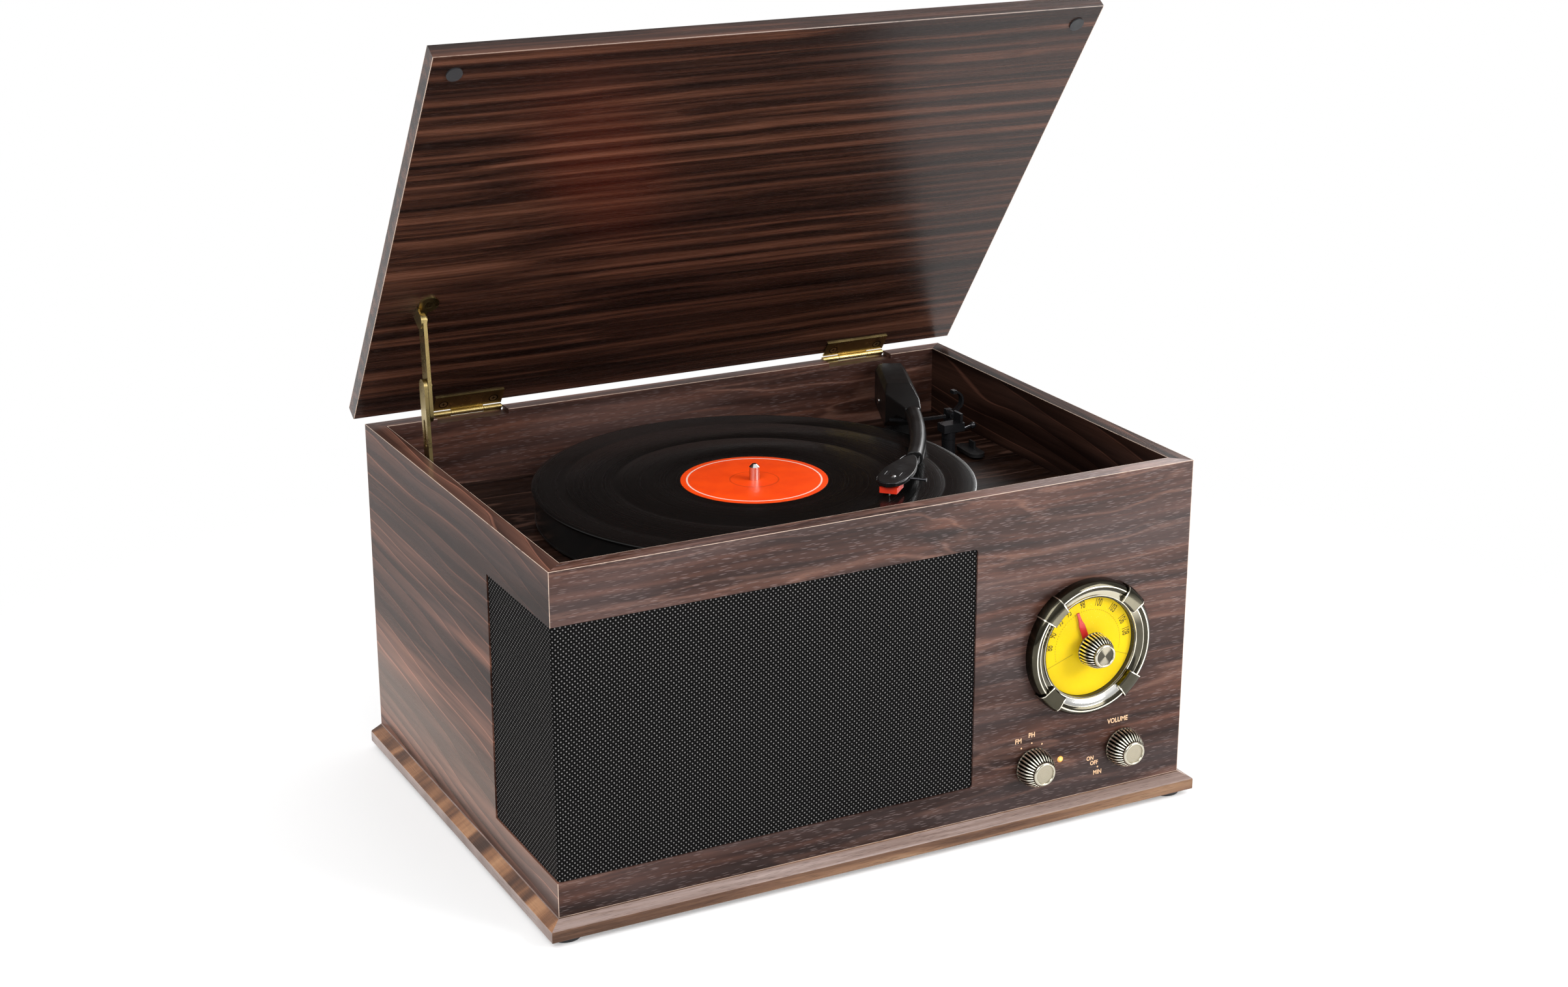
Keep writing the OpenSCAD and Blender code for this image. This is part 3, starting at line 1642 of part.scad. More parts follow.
module mains_transformer() {
  foot = 6;
  color([0.45, 0.4, 0.35])
    translate([amp_x + foot, mains_y, floor_z]) {
      cube([mains_w, mains_d, mains_h]);
      translate([-foot, 0, 0])
        cube([mains_w + 2 * foot, mains_d, 2]);
    }
}

// The rear plate's own frame: its middle, outer face on the inside of the back
module at_plate() {
  translate([plate_x, in_back, plate_z])
    rotate([-90, 0, 0])
      children();
}

module rear_plate() {
  color([0.12, 0.12, 0.12])
    at_plate()
      difference() {
        translate([-plate_w / 2, -plate_h / 2, -plate_t])
          cube([plate_w, plate_h, plate_t]);
        for (side = [-1, 1])
          translate([socket_x, side * rca_gap / 2, -plate_t - eps])
            cylinder(r = socket_stem_r + run_gap, h = plate_t + 2 * eps);
        translate([inlet_x - inlet_w / 2, -inlet_h / 2, -plate_t - eps])
          cube([inlet_w, inlet_h, plate_t + 2 * eps]);
      }
}

module rca_sockets() {
  collar = 1.6;
  stem = 6;
  hole_r = 1.6;
  color([0.8, 0.75, 0.6])
    at_plate()
      for (side = [-1, 1])
        translate([socket_x, side * rca_gap / 2, 0])
          difference() {
            union() {
              cylinder(r = rca_r, h = rca_len);
              cylinder(r = rca_r + collar, h = 1.2);
              translate([0, 0, -plate_t - stem])
                cylinder(r = socket_stem_r, h = plate_t + stem);
            }
            translate([0, 0, 1])
              cylinder(r = hole_r, h = rca_len);
          }
}

module power_inlet() {
  wall = 1.5;
  body_d = 16;
  rim = 2;
  lobe_r = 4.6;
  lobe_x = 4.2;
  contact_r = 1.2;
  color([0.1, 0.1, 0.1])
    at_plate() {
      difference() {
        union() {
          translate([inlet_x - inlet_w / 2 + run_gap, -inlet_h / 2 + run_gap, -body_d])
            cube([inlet_w - 2 * run_gap, inlet_h - 2 * run_gap, body_d]);
          translate([inlet_x - inlet_w / 2 - rim, -inlet_h / 2 - rim, 0])
            cube([inlet_w + 2 * rim, inlet_h + 2 * rim, wall]);
        }
        for (side = [-1, 1])
          translate([inlet_x + side * lobe_x, 0, -body_d + 3])
            cylinder(r = lobe_r, h = body_d + wall);
      }
      for (side = [-1, 1])
        translate([inlet_x + side * lobe_x, 0, -body_d + 2])
          cylinder(r = contact_r, h = body_d - 4, $fn = 24);
    }
}

at_cabinet() front_panel();
at_cabinet() left_panel();
at_cabinet() right_panel();
at_cabinet() back_panel();
at_cabinet() bottom_board();
at_cabinet() plinth();
at_cabinet() rubber_feet();
at_cabinet() inner_framing();
at_cabinet() deck_board();
at_cabinet() speaker_baffle();
at_cabinet() grille_frame();
at_cabinet() grille_cloth();
at_cabinet() speaker_drivers();
at_cabinet() speaker_cones();
at_cabinet() lid_board();
at_cabinet() lid_bumpers();
at_cabinet() hinge_cabinet_leaves();
at_cabinet() hinge_lid_leaves();
at_cabinet() lid_screws();
at_cabinet() cabinet_screws();
at_cabinet() stay_lid_bracket();
at_cabinet() stay_upper_link();
at_cabinet() stay_lower_link();
at_cabinet() stay_wall_bracket();
at_cabinet() platter();
at_cabinet() slip_mat();
at_cabinet() record();
at_cabinet() record_label();
at_cabinet() spindle();
at_cabinet() bearing_housing();
at_cabinet() motor();
at_cabinet() motor_pulley();
at_cabinet() drive_belt();
at_cabinet() tonearm_base();
at_cabinet() tonearm_yoke();
at_cabinet() tonearm();
at_cabinet() headshell();
at_cabinet() cartridge();
at_cabinet() stylus();
at_cabinet() finger_lift();
at_cabinet() arm_rest();
at_cabinet() arm_clip();
at_cabinet() cue_lever();
at_cabinet() cue_lift();
at_cabinet() speed_lever();
at_cabinet() dial_bezel();
at_cabinet() dial_face();
at_cabinet() dial_lens();
at_cabinet() dial_pointer();
at_cabinet() tuning_knob();
at_cabinet() tuner_unit();
at_cabinet() selector_knob();
at_cabinet() volume_knob();
at_cabinet() control_board();
at_cabinet() lamp();
at_cabinet() amplifier_board();
at_cabinet() rear_plate();
at_cabinet() rca_sockets();
at_cabinet() power_inlet();
at_cabinet() mains_transformer();
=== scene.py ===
"""Looks of the stereo music centre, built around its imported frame.
Helpers take millimetres in the frame's axes; Blender objects are in metres."""
import json
import math

import bmesh
import bpy
from mathutils import Matrix, Vector


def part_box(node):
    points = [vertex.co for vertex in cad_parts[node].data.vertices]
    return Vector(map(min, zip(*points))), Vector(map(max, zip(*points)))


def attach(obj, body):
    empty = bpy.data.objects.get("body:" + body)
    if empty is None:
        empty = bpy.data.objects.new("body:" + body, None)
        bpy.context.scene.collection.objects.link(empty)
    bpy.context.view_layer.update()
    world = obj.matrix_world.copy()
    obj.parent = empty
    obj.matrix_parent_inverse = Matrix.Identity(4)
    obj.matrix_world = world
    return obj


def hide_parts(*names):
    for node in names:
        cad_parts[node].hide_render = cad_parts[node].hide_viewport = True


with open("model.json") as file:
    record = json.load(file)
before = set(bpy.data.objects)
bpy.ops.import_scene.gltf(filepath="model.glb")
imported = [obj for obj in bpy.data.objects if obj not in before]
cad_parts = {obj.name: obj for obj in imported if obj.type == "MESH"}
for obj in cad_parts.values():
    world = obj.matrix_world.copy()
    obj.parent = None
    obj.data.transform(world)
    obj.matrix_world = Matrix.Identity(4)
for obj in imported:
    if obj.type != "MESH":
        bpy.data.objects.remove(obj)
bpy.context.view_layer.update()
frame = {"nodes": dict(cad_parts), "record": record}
nodes = frame["nodes"]
joints = {j["name"]: j for j in frame["record"]["behaviour"]["joints"]}
MM = 0.001


def place(joint):
    """A joint's point, in millimetres."""
    return Vector(joints[joint]["pos_m"]) / MM


def low(node):
    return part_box(node)[0] / MM


def high(node):
    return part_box(node)[1] / MM


FRONT = low("front_panel").y
BACK = high("back_panel").y
LEFT, RIGHT = low("front_panel").x, high("front_panel").x
BASE, RIM = low("front_panel").z, high("front_panel").z
MID_Y = (FRONT + BACK) / 2
SPIN = place("platter_spin")
ARM = place("arm_swing")
LIFT_Z = place("arm_lift").z
HINGE = place("lid_hinge")
DIAL = place("tuning_turn")
OPEN = math.radians(55)
ARM_HEADING = math.radians(247.3)


# ---------------------------------------------------------------- meshes

def shown(name, data):
    """A new object in the scene."""
    obj = bpy.data.objects.new(name, data)
    bpy.context.scene.collection.objects.link(obj)
    return obj


class Shape:
    """Gathers vertices and faces in millimetres, and makes one piece of them."""

    def __init__(self, at=None):
        self.v, self.f, self.m = [], [], []
        self.at = at or Matrix.Identity(4)

    def add(self, verts, faces, mat=0, at=None):
        m = self.at @ at if at else self.at
        n = len(self.v)
        self.v += [m @ Vector(p) for p in verts]
        self.f += [[n + i for i in face] for face in faces]
        self.m += [mat] * len(faces)

    def lathe(self, profile, n=96, mat=0, at=None, ribs=None, start=0.0, end=math.tau):
        """Turns (radius, height) points about Z; ribs(angle, index) scales a radius."""
        full = abs(end - start - math.tau) < 1e-6
        steps = n if full else n + 1
        verts, rings = [], []
        for k, (r, h) in enumerate(profile):
            if r < 1e-6:
                rings.append([len(verts)] * steps)
                verts.append((0, 0, h))
                continue
            rings.append(list(range(len(verts), len(verts) + steps)))
            for i in range(steps):
                a = start + (end - start) * i / n
                q = r * (ribs(a, k) if ribs else 1)
                verts.append((q * math.cos(a), q * math.sin(a), h))
        faces = []
        for a, b in zip(rings, rings[1:]):
            for i in range(n):
                j = (i + 1) % steps
                face = []
                for p in (a[i], a[j], b[j], b[i]):
                    if p not in face:
                        face.append(p)
                if len(face) > 2:
                    faces.append(face)
        if not full:
            faces.append([r[0] for r in rings])
            faces.append([r[-1] for r in reversed(rings)])
        self.add(verts, faces, mat, at)

    def prism(self, outline, z0, z1, mat=0, at=None):
        n = len(outline)
        verts = [(x, y, z) for z in (z0, z1) for x, y in outline]
        faces = [list(range(n - 1, -1, -1)), list(range(n, 2 * n))]
        faces += [[i, (i + 1) % n, n + (i + 1) % n, n + i] for i in range(n)]
        self.add(verts, faces, mat, at)

    def box(self, lo, hi, mat=0, at=None):
        self.prism([(lo[0], lo[1]), (hi[0], lo[1]), (hi[0], hi[1]), (lo[0], hi[1])], lo[2], hi[2], mat, at)

    def tube(self, path, radius, n=16, mat=0):
        """A round tube along points, with rounded ends."""
        pts = [Vector(p) for p in path]
        rings, side = [], None
        for i, p in enumerate(pts):
            d = (pts[min(i + 1, len(pts) - 1)] - pts[max(i - 1, 0)]).normalized()
            side = side - d * side.dot(d) if side else d.orthogonal()
            side.normalize()
            up = d.cross(side)
            turns = [math.tau * k / n for k in range(n)]
            rings.append([p + (side * math.cos(a) + up * math.sin(a)) * radius for a in turns])

        def cap(ring, tip, before):
            """Rings that close an end."""
            nose = (tip - before).normalized() * radius * 0.55
            return [[tip + (q - tip) * math.cos(a) + nose * math.sin(a) for q in ring]
                    for a in map(math.radians, (30, 60, 80))]

        rings = cap(rings[0], *pts[:2])[::-1] + rings + cap(rings[-1], *pts[:-3:-1])
        verts = [q for ring in rings for q in ring]
        faces = [[k * n + i, k * n + (i + 1) % n, (k + 1) * n + (i + 1) % n, (k + 1) * n + i]
                 for k in range(len(rings) - 1) for i in range(n)]
        faces += [list(range(n - 1, -1, -1)), list(range(len(verts) - n, len(verts)))]
        self.add(verts, faces, mat)

    def piece(self, name, body, slot, mats, **look):
        mesh = bpy.data.meshes.new(name)
        mesh.from_pydata([v * MM for v in self.v], [], self.f)
        mesh.polygons.foreach_set("material_index", self.m)
        for m in mats:
            mesh.materials.append(m)
        bm = bmesh.new()
        bm.from_mesh(mesh)
        bmesh.ops.remove_doubles(bm, verts=bm.verts, dist=1e-7)
        bmesh.ops.recalc_face_normals(bm, faces=bm.faces)
        bm.to_mesh(mesh)
        bm.free()
        return dress(shown(name, mesh), body, slot, **look)


def dress(obj, body, slot, smooth=35, bevel=0.0, segments=3, replaces=()):
    """Shading, rounded edges and the frame's bookkeeping for a new piece."""
    for p in obj.data.polygons:
        p.use_smooth = True
    obj.data.set_sharp_from_angle(angle=math.radians(smooth))
    if bevel:
        b = obj.modifiers.new("edges", "BEVEL")
        b.width, b.segments, b.limit_method = bevel * MM, segments, "ANGLE"
        b.angle_limit, b.harden_normals = math.radians(smooth), True
        b.miter_outer = "MITER_ARC"
    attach(obj, body)
    if replaces:
        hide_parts(*replaces)
    return obj


def frame_at(origin, x, y, z):
    m = Matrix((x, y, z)).transposed().to_4x4()
    m.translation = Vector(origin)
    return m


def on_front(x, z):
    """On the front: X to the right, Y up, Z out of the cabinet."""
    return frame_at((x, FRONT, z), (1, 0, 0), (0, 0, 1), (0, -1, 0))


def arm_at(u=0.0, v=0.0, z=0.0, turn=0.0):
    """In the tonearm's frame, X along the arm."""
    return (Matrix.Translation((ARM.x, ARM.y, 0)) @ Matrix.Rotation(ARM_HEADING, 4, "Z")
            @ Matrix.Translation((u, v, z)) @ Matrix.Rotation(math.radians(turn), 4, "Z"))


def remeshed(node, name, body, slot, mat, voxel, soften, replaces=()):
    """A moulded copy of a CAD node: its corners run into each other as in one moulding."""
    src = nodes[node]
    obj = shown(name, src.data.copy())
    bm = bmesh.new()
    bm.from_mesh(obj.data)
    bmesh.ops.remove_doubles(bm, verts=bm.verts, dist=1e-6)
    bm.to_mesh(obj.data)
    bm.free()
    r = obj.modifiers.new("voxels", "REMESH")
    r.mode, r.voxel_size, r.use_smooth_shade = "VOXEL", voxel * MM, True
    s = obj.modifiers.new("soften", "SMOOTH")
    s.factor, s.iterations = 0.5, soften
    made = bpy.data.meshes.new_from_object(obj.evaluated_get(bpy.context.evaluated_depsgraph_get()))
    obj.modifiers.clear()
    obj.data = made
    obj.data.materials.clear()
    obj.data.materials.append(mat)
    return dress(obj, body, slot, smooth=60, replaces=replaces)


# ---------------------------------------------------------------- materials

class Paint:
    """A procedural material; sizes in its coordinates are in metres."""

    def __init__(self, name, base=(0.5, 0.5, 0.5), metallic=0.0, rough=0.5, spec=0.5, aniso=0.0, sheen=0.0):
        self.m = bpy.data.materials.new(name)
        self.m.use_nodes = True
        self.t = self.m.node_tree
        self.b = self.t.nodes["Principled BSDF"]
        self.set("Base Color", (*base, 1))
        self.set("Metallic", metallic)
        self.set("Roughness", rough)
        self.set("Specular IOR Level", spec)
        self.set("Anisotropic", aniso)
        self.set("Sheen Weight", sheen)
        self.where = self.node("ShaderNodeTexCoord").outputs["Object"]

    def node(self, kind, ins=None, **attrs):
        n = self.t.nodes.new(kind)
        for k, v in attrs.items():
            setattr(n, k, v)
        for k, v in (ins or {}).items():
            self.put(n.inputs[k], v)
        return n

    def put(self, socket, v):
        if isinstance(v, bpy.types.NodeSocket):
            self.t.links.new(v, socket)
        elif v is not None:
            if socket.type == "RGBA" and len(v) == 3:
                v = (*v, 1)
            socket.default_value = v

    def set(self, name, v):
        self.put(self.b.inputs[name], v)

    def scaled(self, scale, shift=(0, 0, 0), vec=None):
        ins = {"Vector": vec or self.where, "Scale": scale, "Location": shift}
        return self.node("ShaderNodeMapping", ins).outputs[0]

    def noise(self, vec, detail=3.0, rough=0.55, distort=0.0):
        return self.node("ShaderNodeTexNoise", {"Vector": vec, "Scale": 1.0, "Detail": detail, "Roughness": rough,
                                                "Distortion": distort}).outputs["Fac"]

    def voronoi(self, vec):
        return self.node("ShaderNodeTexVoronoi", {"Vector": vec, "Scale": 1.0}).outputs["Distance"]

    def span(self, v, a, b, c=0.0, d=1.0, smooth=True):
        n = self.node("ShaderNodeMapRange", {"Value": v, "From Min": a, "From Max": b, "To Min": c, "To Max": d})
        if smooth:
            n.interpolation_type = "SMOOTHSTEP"
        return n.outputs[0]

    def ramp(self, fac, stops):
        n = self.node("ShaderNodeValToRGB", {"Fac": fac})
        e = n.color_ramp.elements
        while len(e) < len(stops):
            e.new(0.5)
        for el, (pos, col) in zip(e, stops):
            el.position, el.color = pos, (*col, 1)
        return n.outputs[0]

    def calc(self, op, a, b=None):
        n = self.node("ShaderNodeMath", operation=op)
        self.put(n.inputs[0], a)
        if b is not None:
            self.put(n.inputs[1], b)
        return n.outputs[0]

    def times(self, a, b):
        return self.calc("MULTIPLY", a, b)

    def away(self, a, b):
        """The length of a vector of two parts."""
        return self.calc("SQRT", self.calc("ADD", self.times(a, a), self.times(b, b)))

    def mix(self, fac, a, b, blend="MIX"):
        n = self.node("ShaderNodeMix", data_type="RGBA", blend_type=blend)
        self.put(n.inputs[0], fac)
        self.put(n.inputs[6], a)
        self.put(n.inputs[7], b)
        return n.outputs[2]

    def parts(self, vec=None):
        return self.node("ShaderNodeSeparateXYZ", {0: vec or self.where}).outputs

    def parts_from(self, centre):
        """Coordinates from a centre that is given in millimetres."""
        moved = self.node("ShaderNodeVectorMath", {0: self.where, 1: tuple(-centre * MM)}, operation="ADD")
        return self.parts(moved.outputs[0])

    def bump(self, height, strength=0.3, distance=0.0002):
        n = self.node("ShaderNodeBump", {"Height": height, "Strength": strength, "Distance": distance})
        if self.b.inputs["Normal"].links:
            self.put(n.inputs["Normal"], self.b.inputs["Normal"].links[0].from_socket)
        self.set("Normal", n.outputs[0])

    def near(self, lines, width):
        """Mask of the edges where coordinate a is p and coordinate b is q, in millimetres."""
        xyz = self.parts()
        out = None
        for a, p, b, q in lines:
            d = self.calc("MAXIMUM", self.calc("ABSOLUTE", self.calc("SUBTRACT", xyz[a], p * MM)),
                          self.calc("ABSOLUTE", self.calc("SUBTRACT", xyz[b], q * MM)))
            m = self.span(d, 0.0, width * MM, 1.0, 0.0)
            out = self.calc("MAXIMUM", out, m) if out else m
        return out


PATCH_GREY = (0.085, 0.066, 0.066)
PORE_PALE, PORE_RIM, PIT_DARK = (0.235, 0.180, 0.175), (0.030, 0.016, 0.013), (0.018, 0.010, 0.008)


def wood(name, axis, tones, along=3.5, across=110.0, grey=0.3, veins=0.3, vein_tone=(0.25, 0.13, 0.095), streak=0.4,
         pale=0.40, dark=0.5, rough=(0.34, 0.46), spec=0.17, edges=(), edge_width=0.5, edge_tone=(0.66, 0.50, 0.40),
         vec=None, seed=0.0, wave=0.4, relief=0.2, gain=1.0, rings=0.0, pore=(100.0, 1250.0), painted_light_zones=()):
    """Printed wood: bands, thin veins, fine streaks, grey patches, short pale and dark pores, and worn edges.
    Painted light zones are (axis, from, to, factor): painted light and shade, the colour lighter or darker where the
    coordinate is past a line."""
    p = Paint(name, rough=rough[0], spec=spec)
    if vec:
        p.where = vec(p)

    def grain(a, c, shift=0.0):
        s = [c, c, c]
        s[axis] = a
        return p.scaled(s, (seed + shift, seed * 0.7 + shift, seed * 1.3 - shift))

    warp = p.span(p.noise(grain(4.0, 9.0, 3.1), 2.0, 0.5), 0.3, 0.7, -wave, wave, False)
    push = p.node("ShaderNodeCombineXYZ", {k: warp for k in "XYZ"}).outputs[0]

    def bent(a, c, shift=0.0):
        return p.node("ShaderNodeVectorMath", {0: grain(a, c, shift), 1: push}, operation="ADD").outputs[0]

    bands = p.noise(bent(along, across), 4.0, 0.55, 0.15)
    if rings:
        # The rings follow the height, a little tilted along the grain, and wander from it
        here = p.parts()
        level = p.calc("ADD", here[(axis + 1) % 3], here[(axis + 2) % 3])
        slope = p.calc("ADD", level, p.times(here[axis], -0.10))
        field = p.calc("ADD", p.times(slope, 9.0),
                       p.times(p.noise(bent(along * 0.8, across * 0.2, 12.0), 2.2, 0.45), 0.85))
        saw = p.calc("FRACT", p.times(field, rings))
        mild = p.span(p.noise(grain(2.5, 14.0, 4.4), 2.0, 0.5), 0.38, 0.62, 0.06, 0.36)
        slant = p.span(saw, 0.0, 1.0, 0.30, 0.74, False)
        bands = p.node("ShaderNodeMix", {"Factor": mild, "A": bands, "B": slant}).outputs[0]
    colour = p.ramp(bands, [(0.30, tones[0]), (0.41, tones[1]), (0.50, tones[2]), (0.59, tones[3]), (0.70, tones[4])])
    if veins:
        if rings:
            ridge = p.times(p.calc("PINGPONG", p.calc("SUBTRACT", p.times(field, rings), 0.06), 0.5), 0.4)
        else:
            lines = p.noise(bent(along * 0.7, across * 0.42, 12.0), 2.5, 0.45)
            ridge = p.calc("ABSOLUTE", p.calc("SUBTRACT", lines, 0.5))
        on_pale = p.span(bands, 0.36, 0.58, 0.1 if rings else 0.35, 1.0)
        thin = p.times(p.span(ridge, 0.0, 0.03, 1.0, 0.0), on_pale)
        colour = p.mix(p.times(thin, veins), colour, vein_tone)
    streaks = p.noise(grain(12.0, 620.0, 1.7), 4.0, 0.65)
    lo, hi = gain * (1 - streak), gain * (1 + streak)
    colour = p.mix(1.0, colour, p.mix(streaks, (lo, lo, lo), (hi, hi * 0.99, hi * 0.98)), "MULTIPLY")
    if grey:
        patch = p.span(p.noise(grain(5.0, 30.0, 8.3), 2.0, 0.5), 0.44, 0.66)
        colour = p.mix(p.times(patch, grey), colour, PATCH_GREY)
    fine = p.voronoi(bent(*pore, 5.0))
    where = p.span(p.noise(grain(20.0, 90.0, 6.1), 3.0, 0.6), 0.30, 0.60, 0.5, 1.0)
    colour = p.mix(p.times(p.times(p.span(fine, 0.18, 0.34, 1.0, 0.0), where), pale), colour, PORE_PALE)
    rim = p.times(p.span(fine, 0.30, 0.38), p.span(fine, 0.40, 0.50, 1.0, 0.0))
    colour = p.mix(p.times(rim, pale * 0.5), colour, PORE_RIM)
    pits = p.span(p.voronoi(bent(pore[0] * 0.7, pore[1] * 1.3, 9.0)), 0.12, 0.34, 1.0, 0.0)
    colour = p.mix(p.times(pits, dark), colour, PIT_DARK)
    # Painted light and shade: each zone makes the colour lighter or darker past its line
    for a, past, until, factor in painted_light_zones:
        painted_light_spot = p.span(p.parts()[a], past * MM, until * MM)
        colour = p.mix(painted_light_spot, colour, p.mix(1.0, colour, (factor, factor, factor), "MULTIPLY"))
    if edges:
        broken = p.span(p.noise(p.scaled((110, 110, 110)), 3.0, 0.6), 0.25, 0.5, 0.35, 1.0)
        worn = p.times(p.near(edges, edge_width), broken)
        colour = p.mix(p.times(worn, 0.9), colour, edge_tone)
    p.set("Base Color", colour)
    p.set("Roughness", p.span(streaks, 0.3, 0.7, rough[0], rough[1], False))
    if relief:
        p.bump(p.calc("SUBTRACT", streaks, p.times(pits, 0.6)), relief, 0.0001)
    return p.m


def surface(name, base, metallic=0.0, rough=0.4, spec=0.5, vary=0.25, size=14.0, tint=None, grime=0.0, pebble=0.0,
            pebble_size=900.0, scratch=0.0, **more):
    """A moulded, painted or plated surface with cloudy colour, uneven gloss, fine texture and hairline scratches."""
    p = Paint(name, base, metallic, rough, spec, **more)
    cloud = p.noise(p.scaled((size,) * 3), 4.0, 0.6)
    other = tint or tuple(c * (1 - vary) for c in base)
    colour = p.mix(p.span(cloud, 0.35, 0.68), base, tuple(other))
    if grime:
        spots = p.times(p.span(p.noise(p.scaled((90, 90, 90)), 5.0, 0.7), 0.52, 0.72), grime)
        colour = p.mix(spots, colour, tuple(c * 0.3 for c in base))
    p.set("Base Color", colour)
    uneven = p.noise(p.scaled((size * 4,) * 3, (3, 1, 7)), 4.0, 0.65)
    p.set("Roughness", p.span(uneven, 0.3, 0.7, rough * 0.8, min(1.0, rough * 1.3), False))
    if scratch:
        lines = p.noise(p.scaled((60, 2600, 900), (1, 5, 2)), 2.0, 0.5)
        p.bump(p.span(lines, 0.5, 0.72), scratch, 0.00005)
    if pebble:
        p.bump(p.noise(p.scaled((pebble_size,) * 3), 3.0, 0.6), pebble, 0.00008)
    return p.m


X, Y, Z = 0, 1, 2
cab_tones = [(0.0103, 0.0043, 0.0032), (0.0202, 0.0083, 0.006), (0.0368, 0.0154, 0.0109), (0.0624, 0.0257, 0.0171),
             (0.0972, 0.041, 0.0275)]
side_tones = [(0.0086, 0.004, 0.0029), (0.0199, 0.0092, 0.0069), (0.0437, 0.0208, 0.0152), (0.0896, 0.0417, 0.0294),
              (0.1635, 0.0736, 0.0495)]
lid_tones = [(0.0065, 0.0027, 0.002), (0.0138, 0.0055, 0.0036), (0.0284, 0.0109, 0.0069), (0.065, 0.025, 0.0144),
             (0.1161, 0.0473, 0.0284)]
deck_tones = [(0.0035, 0.0016, 0.0011), (0.007, 0.003, 0.002), (0.0125, 0.0055, 0.0035), (0.021, 0.0095, 0.006),
              (0.033, 0.016, 0.0105)]
plinth_tones = [(0.07, 0.034, 0.020), (0.13, 0.066, 0.040), (0.22, 0.115, 0.070), (0.33, 0.18, 0.105),
                (0.45, 0.27, 0.16)]
rail_tones = [(0.050, 0.020, 0.010), (0.110, 0.046, 0.022), (0.21, 0.092, 0.042), (0.33, 0.155, 0.072),
              (0.46, 0.24, 0.12)]
pale_tones = [(0.22, 0.145, 0.12), (0.30, 0.205, 0.175), (0.38, 0.275, 0.24), (0.46, 0.345, 0.31), (0.54, 0.42, 0.38)]

WALL = 12.0
# Painted light: the panels' top edge, which faces up to the light, 1.7 times lighter
rim_top_painted_light = (Z, RIM - 0.4, RIM - 0.1, 1.7)
front_wood = wood("front_wood", X, cab_tones, painted_light_zones=[rim_top_painted_light], edges=[
    (Y, FRONT, Z, RIM), (Y, FRONT + WALL, Z, RIM), (Y, FRONT, X, LEFT), (Y, FRONT, X, RIGHT), (Y, FRONT, Z, BASE)])


def side_panel(name, painted_light_zones):
    return wood(name, Y, side_tones, along=2.0, across=46.0, grey=0.15, veins=0.8, vein_tone=(0.30, 0.130, 0.088),
                pale=0.0, dark=0.12, streak=0.34, wave=0.08, seed=4.0, spec=0.04, rough=(0.17, 0.23), rings=9.0,
                painted_light_zones=painted_light_zones, edges=[
                    (X, LEFT, Z, RIM), (X, LEFT + WALL, Z, RIM), (X, RIGHT, Z, RIM), (X, RIGHT - WALL, Z, RIM),
                    (X, LEFT, Y, FRONT), (X, RIGHT, Y, FRONT), (X, LEFT, Y, BACK), (X, RIGHT, Y, BACK)])


# Painted light: the inner face a little lighter, and the side much lighter towards the bottom, a painted sheen of the
# floor's reflection
left_wood = side_panel("left_wood", [(X, LEFT + 4, LEFT + 8, 1.15), (Z, BASE + 105, BASE + 5, 1.9)])
# Painted shade: the inner face, in the cabinet's shade, much darker
right_wood = side_panel("right_wood", [(X, RIGHT - 4, RIGHT - 8, 0.4)])
# Painted light: a lit copy of the front's print, 1.3 times lighter
back_wood = wood("back_wood", X, cab_tones, grey=0.2, pale=0.22, gain=1.3, seed=9.0, painted_light_zones=[rim_top_painted_light], edges=[
    (Y, BACK, Z, RIM), (Y, BACK - WALL, Z, RIM), (Y, BACK, X, LEFT), (Y, BACK, X, RIGHT)])
deck_wood = wood("deck_wood", X, deck_tones, grey=0.0, pale=0.10, rough=(0.32, 0.44), spec=0.12, seed=2.0)


def shut(p):
    """Coordinates on the lid as if it were closed."""
    n = p.node("ShaderNodeVectorRotate", {"Vector": p.where, "Center": tuple(HINGE * MM), "Angle": OPEN},
               rotation_type="X_AXIS")
    return n.outputs[0]


shut_points = [Matrix.Rotation(OPEN, 3, "X") @ (v.co / MM - HINGE) + HINGE for v in nodes["lid_board"].data.vertices]
LID_LO = Vector(tuple(min(p[i] for p in shut_points) for i in range(3)))
LID_HI = Vector(tuple(max(p[i] for p in shut_points) for i in range(3)))
lid_wood = wood("lid_wood", X, lid_tones, along=1.3, across=150.0, grey=0.0, veins=0.25, vein_tone=(0.10, 0.040, 0.024),
                pale=0.05, dark=0.30, rough=(0.24, 0.31), spec=0.28, wave=0.35, relief=0.12, seed=6.0, vec=shut,
                streak=0.55, edge_width=0.6, edges=[
                    (X, LID_LO.x, Z, LID_LO.z), (X, LID_LO.x, Z, LID_HI.z), (Y, LID_LO.y, Z, LID_LO.z),
                    (Y, LID_LO.y, Z, LID_HI.z), (X, LID_HI.x, Z, LID_LO.z), (X, LID_HI.x, Z, LID_HI.z)])
plinth_face = wood("plinth_face_wood", X, plinth_tones, along=4.0, across=110.0, grey=0.0, veins=0.2, pale=0.1,
                   rough=(0.28, 0.40), gain=0.55, seed=11.0)
